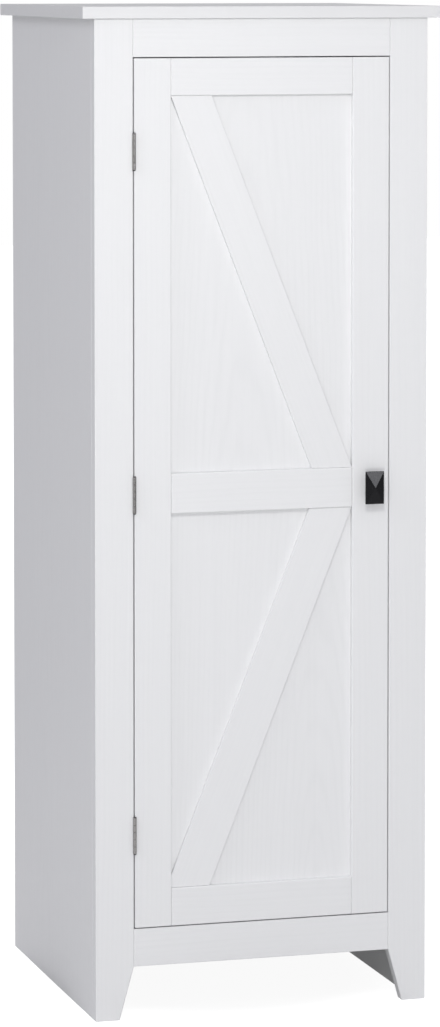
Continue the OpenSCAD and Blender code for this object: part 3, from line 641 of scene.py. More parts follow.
@dataclass(frozen=True)
class Finish:
    """What every finish has: its name, and the record's slot that it belongs to."""

    name: str
    slot: str

    def material(self) -> bpy.types.Material:
        """Find this finish's material, or build it the first time.

        Returns:
            The material.
        """
        known = bpy.data.materials.get(self.name)
        if known:
            return known
        made = bpy.data.materials.new(self.name)
        made.use_nodes = True
        wiring = Wiring(made.node_tree)
        shader = wiring.node("ShaderNodeBsdfPrincipled")
        output = wiring.node("ShaderNodeOutputMaterial")
        wiring.feed(output.inputs["Surface"], shader.outputs[0])
        self.paint(wiring, shader, wiring.node("ShaderNodeTexCoord").outputs["Object"])
        return made

    def paint(self, wiring: Wiring, shader: bpy.types.Node, spot: Socket) -> None:
        """Feed the shader of this finish from the place on the piece."""
        raise NotImplementedError


@dataclass(frozen=True)
class PaintedWood(Finish):
    """White paint that lets a board's grain show through."""

    centre: tuple[float, float, float]
    grain: Grain
    lean: float = 0.0
    pith_side: float = 0.11
    pith_depth: float = 0.06
    tilt: float = 0.03
    ring: float = 9 * MM
    figure: float = 0.6
    pores: float = 1.0
    # A factor on both paint colours; below 1 it is painted shade, as on the top board
    tone: float = 1.0
    light: Colour = (0.857, 0.859, 0.865)
    shade: Colour = (0.821, 0.824, 0.83)
    roughness: tuple[float, float] = (0.48, 0.6)
    gloss_patches: float = 60.0
    relief: float = 0.12 * MM
    relief_strength: float = 0.45
    specular: float = 0.2

    def paint(self, wiring: Wiring, shader: bpy.types.Node, spot: Socket) -> None:
        """Draw the grain in the paint's colour, gloss and relief.

        Args:
            wiring: The material's node tree.
            shader: The shader to feed.
            spot: The place on the piece.
        """
        turn = Matrix.Rotation(-self.lean, 3, "Y") @ Matrix(self.grain.value)
        shift = -(turn @ Vector(self.centre))
        board = {"Vector": spot, "Rotation": turn.to_euler("XYZ"), "Location": shift}
        place_on_board = wiring.node("ShaderNodeMapping", board).outputs[0]
        wood = wiring.effect(Effect.WOOD, {
            "Vector": place_on_board, "Pith Side": self.pith_side, "Pith Depth": self.pith_depth,
            "Tilt": self.tilt, "Ring": self.ring, "Figure": self.figure, "Pores": self.pores,
        })
        shade, light = (
            tuple(self.tone * part for part in colour) for colour in (self.shade, self.light)
        )
        wiring.feed(shader.inputs["Base Color"], wiring.blend(wood["Tone"], shade, light))
        gloss = wiring.noise(place_on_board, self.gloss_patches, detail=3.0)
        wiring.feed(shader.inputs["Roughness"], wiring.spread(gloss, *NOISE_REACH, *self.roughness))
        relief = wiring.bump(wood["Height"], self.relief, self.relief_strength)
        wiring.feed(shader.inputs["Normal"], relief)
        shader.inputs["Specular IOR Level"].default_value = self.specular


@dataclass(frozen=True)
class Speckled(Finish):
    """A matt or satin stuff with clouds and speckle: pressed fibre, moulded plastic or lacquer."""

    light: Colour
    shade: Colour
    roughness: tuple[float, float]
    grain_per_metre: float = 900.0
    relief: float = 0.05 * MM
    specular: float = 0.5
    relief_strength: float = 0.5

    def paint(self, wiring: Wiring, shader: bpy.types.Node, spot: Socket) -> None:
        """Draw the clouds and the speckle in the colour, gloss and relief.

        Args:
            wiring: The material's node tree.
            shader: The shader to feed.
            spot: The place on the piece.
        """
        mottle = wiring.effect(Effect.MOTTLE, {"Vector": spot, "Scale": self.grain_per_metre})
        share = wiring.sum((mottle["Cloud"], 0.45), (mottle["Speckle"], 0.55))
        wiring.feed(shader.inputs["Base Color"], wiring.blend(share, self.shade, self.light))
        wiring.feed(shader.inputs["Roughness"], wiring.spread(share, 0.0, 1.0, *self.roughness))
        relief = wiring.bump(mottle["Speckle"], self.relief, self.relief_strength)
        wiring.feed(shader.inputs["Normal"], relief)
        shader.inputs["Specular IOR Level"].default_value = self.specular


@dataclass(frozen=True)
class BareMetal(Finish):
    """Plated or rolled metal with fine lines along one direction."""

    light: Colour
    shade: Colour
    roughness: tuple[float, float]
    lines: tuple[float, float, float] = (1.0, 1.0, 0.05)
    lines_per_metre: float = 2600.0
    relief: float = 0.01 * MM
    relief_strength: float = 0.4

    def paint(self, wiring: Wiring, shader: bpy.types.Node, spot: Socket) -> None:
        """Draw the lines in the colour, gloss and relief.

        Args:
            wiring: The material's node tree.
            shader: The shader to feed.
            spot: The place on the piece.
        """
        inputs = {"Vector": wiring.stretch(spot, self.lines), "Scale": self.lines_per_metre}
        tone = wiring.effect(Effect.BRUSHED, inputs)["Tone"]
        share = wiring.spread(tone, *CRISP_REACH)
        wiring.feed(shader.inputs["Base Color"], wiring.blend(share, self.shade, self.light))
        wiring.feed(shader.inputs["Roughness"], wiring.spread(tone, *CRISP_REACH, *self.roughness))
        wiring.feed(shader.inputs["Normal"], wiring.bump(tone, self.relief, self.relief_strength))
        shader.inputs["Metallic"].default_value = 1.0


class Stock:
    """The finishes of everything but the painted boards."""

    INNER_FACE = Speckled(
        "white_foil", "white_paint", (0.82, 0.822, 0.826), (0.79, 0.792, 0.797), (0.45, 0.55)
    )
    FIBREBOARD = Speckled(
        "pressed_fibre", "back_board", (0.50, 0.385, 0.265), (0.37, 0.275, 0.18), (0.78, 0.9),
        relief=0.08 * MM, specular=0.2,
    )
    PLASTIC = Speckled(
        "white_plastic", "white_plastic", (0.80, 0.80, 0.79), (0.76, 0.76, 0.75), (0.3, 0.4)
    )
    LACQUER = Speckled(
        "black_lacquer", "black_metal", (0.008, 0.008, 0.0095), (0.004, 0.004, 0.005), (0.15, 0.2),
        grain_per_metre=420.0, relief=0.02 * MM, specular=0.2,
    )
    FERRITE = Speckled(
        "ferrite", "magnet", (0.05, 0.05, 0.052), (0.03, 0.03, 0.032), (0.6, 0.75)
    )
    BEECH = Speckled("beech_end", "beech", (0.66, 0.47, 0.29), (0.52, 0.35, 0.20), (0.6, 0.7))
    NICKEL = BareMetal(
        "satin_nickel", "nickel", (0.32, 0.312, 0.306), (0.23, 0.224, 0.22), (0.2, 0.3)
    )
    DARK_STEEL = BareMetal(
        "dark_steel", "steel", (0.09, 0.088, 0.087), (0.055, 0.054, 0.054), (0.3, 0.42)
    )
    STEEL = BareMetal("bright_steel", "steel", (0.56, 0.56, 0.57), (0.44, 0.44, 0.45), (0.2, 0.32))
    ZINC = BareMetal(
        "zinc_plate", "zinc", (0.62, 0.63, 0.66), (0.47, 0.48, 0.51), (0.3, 0.45),
        lines=(1.0, 1.0, 1.0),
    )


# ---- The cupboard ----


CABINET = "cabinet"
DOOR = "door"


def place(piece: Piece, body: str, finish: Finish, *nodes: str) -> Piece:
    """Give a finished piece its material and its body, and hide the CAD nodes that it stands for.

    Args:
        piece: The finished piece.
        body: The CAD body that it moves with.
        finish: The finish of its surface.
        nodes: The CAD nodes that it replaces.

    Returns:
        The same piece.
    """
    if not piece.data.materials:
        piece.data.materials.append(finish.material())
    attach(piece, body)
    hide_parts(*nodes)
    LOG.info("%s: %d faces, on %s", piece.name, len(piece.data.polygons), body)
    return piece


@dataclass
class Joinery:
    """What each wooden sub-assembly shares."""

    body: str = CABINET
    soft_edge: float = 1.0 * MM
    joint_edge: float = 2.0 * MM
    thin_edge: float = 0.3 * MM
    edge_faces: int = 4

    def board(
        self, node: str, box: Box | None = None, joint_at: Callable[[Vector], bool] | None = None
    ) -> Piece:
        """Make a board with eased edges, which are softer where it meets another board.

        Args:
            node: The CAD node that the board stands for.
            box: Its lowest and highest corner, if they aren't the node's.
            joint_at: Takes the middle of an edge and says whether it meets another board.

        Returns:
            The board.
        """
        board = Bench.block(f"{node}_board", *(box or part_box(node)))
        return Bench.ease(
            board, self.soft_edge, self.edge_faces, softest=self.joint_edge, softer_at=joint_at
        )

    def finish(self, board: Piece, node: str, grain: Grain, **wood: float) -> Piece:
        """Paint a board and put it in the place of its CAD node.

        Args:
            board: The shaped board.
            node: The CAD node that it stands for.
            grain: The way that its grain runs.
            wood: Other settings of the painted wood.

        Returns:
            The same board.
        """
        centre = tuple(middle(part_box(node)))
        paint = PaintedWood(f"{node}_paint", "white_paint", centre, grain, **wood)
        return place(board, self.body, paint, node)


@dataclass
class Carcass(Joinery):
    """The top, sides, bottom, rear rails and thin back."""

    pin_radius: float = 2.55 * MM
    pin_depth: float = 9.5 * MM
    pin_inset: float = 50 * MM
    pin_pitch: float = 32 * MM
    pin_rows: int = 5
    cam_radius: float = 7.55 * MM
    cam_depth: float = 13 * MM
    cam_setback: float = 24 * MM
    top_cam_inset: float = 90 * MM
    stile_cam_inset: float = 60 * MM
    stile_cams: int = 4
    wall_hole_radius: float = 2.5 * MM
    wall_hole_spacing: float = 406.4 * MM
    flange: float = 1 * MM
    nail_head_radius: float = 2.2 * MM
    nail_radius: float = 0.8 * MM
    nail_point: float = 1.5 * MM
    strip_edge: float = 0.25 * MM

    def build(self) -> None:
        """Build every piece of the carcass."""
        # The top board's paint is made 6% darker than the other boards' (tone=0.94): painted shade,
        # which darkens its top face and edges as dimmer light would
        self.finish(
            self.board("top_board"), "top_board", Grain.LEVEL_FLAT,
            pith_side=0.02, tilt=0.05, figure=0.5, tone=0.94,
        )
        for side, name in ((-1, "left_side_panel"), (1, "right_side_panel")):
            self.side_panel(name, side)
        self.finish(self.board("bottom_board"), "bottom_board", Grain.LEVEL_FLAT, figure=0.4)
        self.rear_rails()
        self.back_panel("upper_back_panel", self.wall_holes())
        self.back_panel("lower_back_panel", [])
        self.seam_strip()
        self.nails()

    def side_panel(self, name: str, side: int) -> None:
        """Build a side panel with its rebate for the back, its pin holes and its cam pockets.

        Args:
            name: The panel's CAD node.
            side: -1 for the left panel, 1 for the right one.
        """
        low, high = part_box(name)
        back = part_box("lower_back_panel")
        inner_x = high.x if side < 0 else low.x
        lap_x = back[0].x if side < 0 else back[1].x

        def at_frame(spot: Vector) -> bool:
            """Say whether an edge lies at the front, off the inner face."""
            return spot.y < low.y + MM and spot.x * side > inner_x * side + MM

        panel = self.board(name, joint_at=at_frame)
        reach = 10 * MM
        edges = sorted((lap_x, inner_x - side * reach))
        rebate = Bench.block(
            "tool", (edges[0], back[0].y, back[0].z), (edges[1], high.y + reach, high.z + reach)
        )
        Bench.carve(panel, Carving.CUT, rebate)
        holes = [
            Bench.rod((inner_x - side * MM, y, z), RIGHT * side, radius, depth + MM)
            for places, radius, depth in (
                (self.pin_places(), self.pin_radius, self.pin_depth),
                (self.cam_places(), self.cam_radius, self.cam_depth),
            )
            for y, z in places
        ]
        Bench.carve(panel, Carving.CUT, *holes)
        self.finish(
            panel, name, Grain.UPRIGHT_SIDE,
            pith_side=0.05 * side, pith_depth=0.09, tilt=0.05, ring=11 * MM, figure=0.5,
        )

    def pin_places(self) -> list[tuple[float, float]]:
        """Find the shelf pin holes in a side panel.

        Returns:
            The depth and height of each hole.
        """
        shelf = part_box("hat_shelf")
        used_z = shelf[0].z - self.pin_radius
        rows = [used_z + (row - self.pin_rows // 2) * self.pin_pitch for row in range(self.pin_rows)]
        ends = (shelf[0].y + self.pin_inset, shelf[1].y - self.pin_inset)
        return [(y, z) for z in rows for y in ends]

    def cam_places(self) -> list[tuple[float, float]]:
        """Find the cam locks that open on a side panel's inner face.

        Returns:
            The depth and height of each lock.
        """
        front_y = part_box("left_side_panel")[0].y
        lap_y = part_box("lower_back_panel")[0].y
        bottom_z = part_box("bottom_frame_rail")[1].z + self.stile_cam_inset
        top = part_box("top_frame_rail")
        pitch = (top[0].z - self.stile_cam_inset - bottom_z) / (self.stile_cams - 1)
        at_stile = [(front_y + self.cam_setback, bottom_z + i * pitch) for i in range(self.stile_cams)]
        ends = (front_y + self.top_cam_inset, lap_y - self.top_cam_inset)
        return at_stile + [(y, top[1].z - self.cam_setback) for y in ends]

    def wall_holes(self) -> list[Piece]:
        """Make tool shapes for the two holes that take wall screws.

        Returns:
            The two tool shapes, which reach through the rail and the back.
        """
        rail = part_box("top_back_rail")
        start_y, z = rail[0].y - MM, middle(rail).z
        reach = 30 * MM
        return [
            Bench.rod((x, start_y, z), BACK, self.wall_hole_radius, reach)
            for x in (-self.wall_hole_spacing / 2, self.wall_hole_spacing / 2)
        ]

    def rear_rails(self) -> None:
        """Build the rail under the top board, with its wall holes, and the one above the floor."""
        top_rail = Bench.carve(self.board("top_back_rail"), Carving.CUT, *self.wall_holes())
        self.finish(top_rail, "top_back_rail", Grain.LEVEL, figure=0.4)
        self.finish(self.board("bottom_back_rail"), "bottom_back_rail", Grain.LEVEL, figure=0.4)

    def back_panel(self, name: str, holes: list[Piece]) -> None:
        """Build one half of the thin back: white foil inside, pressed fibre outside.

        Args:
            name: The half's CAD node.
            holes: Tool shapes for the holes in it.
        """
        low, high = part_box(name)
        panel = Bench.ease(Bench.block(f"{name}_board", low, high), self.thin_edge, segments=1)
        if holes:
            Bench.carve(panel, Carving.CUT, *holes)
        for finish in (Stock.FIBREBOARD, Stock.INNER_FACE):
            panel.data.materials.append(finish.material())
        square_on = 0.9
        for face in panel.data.polygons:
            face.material_index = int(face.normal.dot(FRONT) > square_on)
        place(panel, self.body, Stock.FIBREBOARD, name)

    def seam_strip(self) -> None:
        """Build the plastic strip that joins the two halves of the back."""
        low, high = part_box("back_seam_strip")
        web_z = middle((low, high)).z
        strip = Bench.ease(Bench.block("back_seam_strip_moulding", low, high), self.strip_edge)
        slots = [
            Bench.block(
                "tool",
                (low.x - MM, low.y + self.flange, slot_low),
                (high.x + MM, high.y - self.flange, slot_high),
            )
            for slot_low, slot_high in (
                (low.z - MM, web_z - self.flange / 2), (web_z + self.flange / 2, high.z + MM),
            )
        ]
        place(Bench.carve(strip, Carving.CUT, *slots), self.body, Stock.PLASTIC, "back_seam_strip")

    def nails(self) -> None:
        """Build the flat-headed nails that hold the back."""
        boxes = Bench.solids_of("back_nails")
        length = boxes[0][1].y - boxes[0][0].y
        head, shank = self.nail_head_radius, self.nail_radius
        profile = (
            (0.0, 0.6 * head), (0.2 * MM, 0.9 * head), (0.45 * MM, head), (self.flange, head),
            (self.flange, shank), (length - self.nail_point, shank), (length, 0.2 * shank),
        )
        nail = Bench.turned("nail", (0, 0, 0), FRONT, profile, sides=16)
        nails = Bench.repeat("back_nails_flat", nail, [end_of(box, BACK) for box in boxes])
        place(nails, self.body, Stock.STEEL, "back_nails")


@dataclass
class FaceFrame(Joinery):
    """The frame around the door, whose two stiles end in tapered feet."""

    joint_edge: float = 1.7 * MM
    foot_width: float = 43.5 * MM

    def build(self) -> None:
        """Build the two stiles and the two rails."""
        self.stile("left_frame_stile", -1, 0.13)
        self.stile("right_frame_stile", 1, -0.15)
        self.rail("top_frame_rail", 0.09)
        self.rail("bottom_frame_rail", -0.1)

    def rail(self, name: str, pith_side: float) -> None:
        """Build a rail, which is softer at the front of its ends.

        Args:
            name: The rail's CAD node.
            pith_side: How far across the middle of the tree lies.
        """
        low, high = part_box(name)

        def at_end(spot: Vector) -> bool:
            """Say whether an edge lies at the front of an end."""
            return spot.y < low.y + MM and abs(spot.x) > high.x - MM

        rail = self.board(name, joint_at=at_end)
        self.finish(rail, name, Grain.LEVEL, pith_side=pith_side, figure=0.5)

    def stile(self, name: str, side: int, pith_side: float) -> None:
        """Build a stile, narrowed from the bottom rail down to the floor.

        Args:
            name: The stile's CAD node.
            side: -1 for the left stile, 1 for the right one.
            pith_side: How far across the middle of the tree lies.
        """
        low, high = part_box(name)
        foot_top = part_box("bottom_frame_rail")[0].z
        inner_x, outer_x = (high.x, low.x) if side < 0 else (low.x, high.x)
        narrowing = (high.x - low.x) - self.foot_width
        stile = Bench.block(f"{name}_board", low, high)
        Bench.slice(stile, (0, 0, foot_top), UP, drop=False)
        Bench.pick(stile, lambda spot: spot.z < low.z + MM and abs(spot.x - inner_x) < MM)
        bpy.ops.transform.translate(value=(side * narrowing, 0, 0))
        Bench.leave()

        def at_joint(spot: Vector) -> bool:
            """Say whether an upright edge lies at the rails' ends or along the side panel."""
            upright = low.z + MM < spot.z < high.z - MM and abs(spot.z - foot_top) > MM
            return upright and (spot.y < low.y + MM) != (abs(spot.x - outer_x) < MM)

        Bench.ease(
            stile, self.soft_edge, self.edge_faces, sharper_than=40.0,
            softest=self.joint_edge, softer_at=at_joint,
        )
        self.finish(stile, name, Grain.UPRIGHT, pith_side=pith_side, figure=0.55)


@dataclass
class Furnishing(Joinery):
    """The hat shelf on its pins, and the rail with four pegs for brooms."""

    pin_radius: float = 2.5 * MM
    plate: float = 2 * MM
    tongue: float = 2.5 * MM
    tenon_radius: float = 6 * MM
    tenon_length: float = 14 * MM
    collar_radius: float = 9 * MM
    collar_length: float = 4 * MM
    root_radius: float = 7.7 * MM
    neck_radius: float = 5.04 * MM
    ball_radius: float = 9.5 * MM
    ball_steps: int = 10
    pin_edge: float = 0.4 * MM
    peg_edge: float = 0.8 * MM

    def build(self) -> None:
        """Build the shelf, its pins, the peg rail and the pegs."""
        self.finish(self.board("hat_shelf"), "hat_shelf", Grain.LEVEL_FLAT, pith_side=-0.06, figure=0.5)
        self.shelf_pins()
        self.finish(self.board("peg_rail"), "peg_rail", Grain.LEVEL, pith_side=0.1, figure=0.5)
        for number in range(1, 5):
            self.peg(f"broom_peg_{number}")

    def shelf_pins(self) -> None:
        """Build the four pins, each with a plate on the side panel and a tongue under the shelf."""
        pins = []
        for low, high in Bench.solids_of("shelf_pins"):
            side = -1 if low.x < 0 else 1
            panel_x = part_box("left_side_panel")[1].x * -side
            centre = middle((low, high))
            plate_x = sorted((panel_x, panel_x - side * self.plate))
            tongue_end = low.x if side > 0 else high.x
            tongue_x = sorted((panel_x - side * self.plate / 2, tongue_end))
            plate = Bench.block("pin", (plate_x[0], low.y, low.z), (plate_x[1], high.y, high.z))
            pin = Bench.ease(plate, self.pin_edge)
            tongue_low = (tongue_x[0], low.y, high.z - self.tongue)
            tongue = Bench.block("tool", tongue_low, (tongue_x[1], high.y, high.z))
            Bench.carve(pin, Carving.ADD, Bench.ease(tongue, self.pin_edge))
            depth = abs((high.x if side > 0 else low.x) - panel_x)
            radius = self.pin_radius
            shaft = ((-MM, radius), (depth - MM, radius), (depth, 0.7 * radius))
            start = (panel_x, centre.y, high.z - radius)
            Bench.carve(pin, Carving.ADD, Bench.turned("tool", start, RIGHT * side, shaft))
            pins.append(pin)
        place(Bench.join("shelf_pins_pressed", *pins), self.body, Stock.ZINC, "shelf_pins")

    def peg(self, name: str) -> None:
        """Turn one peg: tenon, collar, tapered neck and ball.

        Args:
            name: The peg's CAD node.
        """
        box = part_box(name)
        face_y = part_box("peg_rail")[0].y
        radius = self.ball_radius
        ball_at = face_y - box[0].y - radius
        round_over = self.peg_edge
        collar, collar_end = self.collar_radius, self.collar_length
        widest = math.pi - math.asin(self.neck_radius / radius)
        angles = [widest * (1 - step / self.ball_steps) for step in range(self.ball_steps)]
        ball = [(ball_at + radius * math.cos(a), radius * math.sin(a)) for a in angles]
        profile = [
            (-self.tenon_length, self.tenon_radius - round_over),
            (-self.tenon_length + round_over, self.tenon_radius),
            (0.0, self.tenon_radius), (0.0, collar - 0.3 * round_over),
            (0.3 * round_over, collar), (collar_end - round_over, collar),
            (collar_end, collar - round_over), (collar_end, self.root_radius),
            *ball, (ball_at + radius, 0.1 * MM),
        ]
        centre = middle(box)
        start = (centre.x, face_y, centre.z)
        peg = Bench.turned(f"{name}_turned", start, FRONT, profile, sides=40)
        paint = PaintedWood(
            f"{name}_paint", "white_paint", tuple(centre), Grain.UPRIGHT_SIDE,
            figure=0.3, pith_side=0.03,
        )
        place(peg, self.body, paint, name)


@dataclass
class Door(Joinery):
    """The door: five framing pieces, two recessed panels and a slanted brace on each."""

    body: str = DOOR
    joint_edge: float = 2.2 * MM
    groove_depth: float = 8 * MM
    groove_fit: float = 0.1 * MM
    upper_brace_width: float = 69 * MM
    lower_brace_width: float = 73 * MM
    lower_brace_toe: float = 8.5 * MM
    brace_edge: float = 0.5 * MM
    brace_end: float = 1.5 * MM
    screw_head_radius: float = 2.85 * MM
    screw_cone: float = 2 * MM

    def build(self) -> None:
        """Build the door from its frame inwards."""
        self.stile("door_hinge_stile", -1, 0.14)
        self.stile("door_knob_stile", 1, -0.12)
        self.rail("door_top_rail", 0.1, grooves=(-1,))
        self.rail("door_middle_rail", -0.09, grooves=(-1, 1))
        self.rail("door_bottom_rail", 0.08, grooves=(1,))
        self.panel("upper_door_panel", -0.03, 0.1, 0.06)
        self.panel("lower_door_panel", 0.105, 0.06, 0.085)
        self.brace(
            "upper_brace", 1, "door_middle_rail", "door_top_rail",
            self.upper_brace_width, toe=0.0,
        )
        self.brace(
            "lower_brace", -1, "door_bottom_rail", "door_middle_rail",
            self.lower_brace_width, self.lower_brace_toe,
        )

    @property
    def opening_x(self) -> float:
        """How far each side of the panels' opening is from the middle."""
        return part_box("door_knob_stile")[0].x

    def groove(self, low_x: float, high_x: float, low_z: float, high_z: float) -> Piece:
        """Make a tool shape as thick as the panels' groove.

        Args:
            low_x: Its left end.
            high_x: Its right end.
            low_z: Its lower end.
            high_z: Its upper end.

        Returns:
            The tool shape.
        """
        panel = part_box("upper_door_panel")
        low = (low_x, panel[0].y - self.groove_fit, low_z)
        high = (high_x, panel[1].y + self.groove_fit, high_z)
        return Bench.block("tool", low, high)

    def stile(self, name: str, side: int, pith_side: float) -> None:
        """Build a stile, with a groove down its inner edge.

        Args:
            name: The stile's CAD node.
            side: -1 for the hinge stile, 1 for the knob stile.
            pith_side: How far across the middle of the tree lies.
        """
        low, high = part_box(name)
        inner = side * self.opening_x
        edges = sorted((inner - side * MM, inner + side * self.groove_depth))
        groove = self.groove(edges[0], edges[1], low.z - MM, high.z + MM)

        def at_panel(spot: Vector) -> bool:
            """Say whether an edge lies at the front of the inner edge."""
            return spot.y < low.y + MM and abs(spot.x - inner) < MM

        stile = self.board(name, joint_at=at_panel)
        Bench.carve(stile, Carving.CUT, groove)
        self.finish(stile, name, Grain.UPRIGHT, pith_side=pith_side, figure=0.55)

    def rail(self, name: str, pith_side: float, grooves: Sequence[int]) -> None:
        """Build a rail, with a tenon at each end and a groove for each panel that it holds.

        Args:
            name: The rail's CAD node.
            pith_side: How far across the middle of the tree lies.
            grooves: -1 for a groove in the lower edge, 1 for one in the upper edge.
        """
        low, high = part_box(name)
        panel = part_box("upper_door_panel")
        half = self.opening_x
        body = (Vector((-half, low.y, low.z)), Vector((half, high.y, high.z)))

        def softer(spot: Vector) -> bool:
            """Say whether an edge lies along the front's top or at one of its ends."""
            return spot.y < low.y + MM and (spot.z > high.z - MM or abs(spot.x) > half - MM)

        rail = self.board(name, body, softer)
        tenon_low, tenon_high = (low.x, panel[0].y, low.z + MM), (high.x, panel[1].y, high.z - MM)
        Bench.carve(rail, Carving.ADD, Bench.block("tool", tenon_low, tenon_high))
        reach = high.x + MM
        for edge in grooves:
            z = high.z if edge > 0 else low.z
            heights = sorted((z + edge * MM, z - edge * self.groove_depth))
            Bench.carve(rail, Carving.CUT, self.groove(-reach, reach, *heights))
        self.finish(rail, name, Grain.LEVEL, pith_side=pith_side, figure=0.55)

    def panel(self, name: str, pith_side: float, pith_depth: float, tilt: float) -> None:
        """Build a recessed panel, with sunk holes in its rear for the brace's screws.

        Args:
            name: The panel's CAD node.
            pith_side: How far across the middle of the tree lies.
            pith_depth: How far behind the panel's middle it lies.
            tilt: How much deeper it lies for each metre up.
        """
        low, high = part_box(name)
        panel = Bench.ease(Bench.block(f"{name}_board", low, high), self.thin_edge, segments=1)
        heads = [end_of(box, BACK) for box in Bench.solids_of("brace_screws")]
        sinks = [
            Bench.countersink(spot, FRONT, self.screw_head_radius, self.screw_cone)
            for spot in heads if low.z < spot.z < high.z
        ]
        Bench.carve(panel, Carving.CUT, *sinks)
        self.finish(
            panel, name, Grain.UPRIGHT,
            pith_side=pith_side, pith_depth=pith_depth, tilt=tilt, figure=0.9,
        )

    def brace(self, name: str, side: int, below: str, above: str, width: float, toe: float) -> None:
        """Build a brace by cutting a sheet across, along both of its long edges.

        Args:
            name: The brace's CAD node.
            side: The side of its lower end, -1 for the left one.
            below: The rail that it stands on.
            above: The rail that it reaches up to.
            width: Its width, square to its long edges.
            toe: How far past the opening's lower corner its outer edge would reach.
        """
        low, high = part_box(name)
        bottom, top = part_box(below)[1].z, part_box(above)[0].z
        rise, half = top - bottom, self.opening_x
        step = self.level_width(width, rise, 2 * half + toe)
        run = 2 * half + toe - step
        brace = Bench.block(f"{name}_board", (-half, low.y, bottom), (half, high.y, top))
        upward = Vector((-side * run, 0, rise)).normalized()
        outward = Vector((side * upward.z, 0, -side * upward.x))
        Bench.slice(brace, (side * (half + toe), 0, bottom), outward, drop=True)
        Bench.slice(brace, (side * (half + toe - step), 0, bottom), -outward, drop=True)

        def at_rail(spot: Vector) -> bool:
            """Say whether an edge lies at the front, along one of the rails."""
            return spot.y < low.y + MM and not bottom + MM < spot.z < top - MM

        Bench.ease(
            brace, self.brace_edge, segments=3, softest=self.brace_end, softer_at=at_rail
        )
        lean = math.atan2(-side * run, rise)
        self.finish(brace, name, Grain.UPRIGHT, lean=lean, pith_side=0.16, figure=0.3, pores=0.6)

    @staticmethod
    def level_width(width: float, rise: float, reach: float) -> float:
        """Find how wide a slanted brace is where a rail crosses it.

        Args:
            width: The brace's width, square to its long edges.
            rise: Its height.
            reach: The level distance from its outer edge's foot to the far side of its head.

        Returns:
            The level width.
        """
        a = rise**2 - width**2
        b = 2 * reach * width**2
        c = -(width**2) * (rise**2 + reach**2)
        return (-b + math.sqrt(b * b - 4 * a * c)) / (2 * a)


@dataclass(frozen=True)
class Screws:
    """Wood screws with a cross in the head, which is flat and sunk, or domed."""

    head_radius: float
    head_height: float
    domed: bool = False
    shank_radius: float = 1.25 * MM
    rim: float = 0.15 * MM
    pitch: float = 1.2 * MM
    cross_length: float = 0.68
    cross_width: float = 0.17
    cross_depth: float = 1.1 * MM

    def drive(self, node: str, body: str, finish: Finish, way: Vector) -> None:
        """Build all the screws of a CAD node.

        Args:
            node: The CAD node.
            body: The body that they move with.
            finish: The finish of their surface.
            way: The way that they point.
        """
        boxes = Bench.solids_of(node)
        low, high = boxes[0]
        screw = self.model(way, abs(high.dot(way) - low.dot(way)))
        screws = Bench.repeat(f"{node}_crossed", screw, [end_of(box, -way) for box in boxes])
        place(screws, body, finish, node)

    def model(self, way: Vector, length: float) -> Piece:
        """Model one screw, with the top of its head at the origin.

        Args:
            way: The way that it points.
            length: Its whole length.

        Returns:
            The screw.
        """
        profile = [(0.0, self.head_radius), (self.rim, self.head_radius)]
        if self.domed:
            dome = ((0.0, 0.5), (0.12, 0.75), (0.4, 0.95), (0.7, 1.0), (1.0, 1.0))
            profile = [(down * self.head_height, out * self.head_radius) for down, out in dome]
        profile += [(self.head_height, self.shank_radius), *self.thread(length)]
        return self.cross(Bench.turned("screw", (0, 0, 0), way, profile, sides=24), way)

    def thread(self, length: float) -> list[tuple[float, float]]:
        """Draw the ridged profile of the thread and the point.

        Args:
            length: The screw's whole length.

        Returns:
            Distances along the screw, each with the radius there.
        """
        root = 0.78 * self.shank_radius
        ridges = []
        for turn in range(int((length - self.head_height - 2 * self.shank_radius) / self.pitch)):
            at = self.head_height + turn * self.pitch
            ridges += [
                (at + 0.35 * self.pitch, root), (at + 0.7 * self.pitch, self.shank_radius),
                (at + self.pitch, root),
            ]
        return [*ridges, (length, 0.1 * self.shank_radius)]

    def cross(self, screw: Piece, way: Vector) -> Piece:
        """Cut the cross into a screw's head.

        Args:
            screw: The screw, with its head at the origin.
            way: The way that it points.

        Returns:
            The same screw.
        """
        level = way.cross(UP)
        arm, half_width = self.cross_length * self.head_radius, self.cross_width * self.head_radius
        for long_way, short_way in ((level, UP), (UP, level)):
            half = Vector([abs(c) for c in long_way * arm + short_way * half_width])
            depth = Vector([abs(c) for c in way * self.cross_depth])
            screw = Bench.carve(screw, Carving.CUT, Bench.block("tool", -half - depth, half + depth))
        return screw


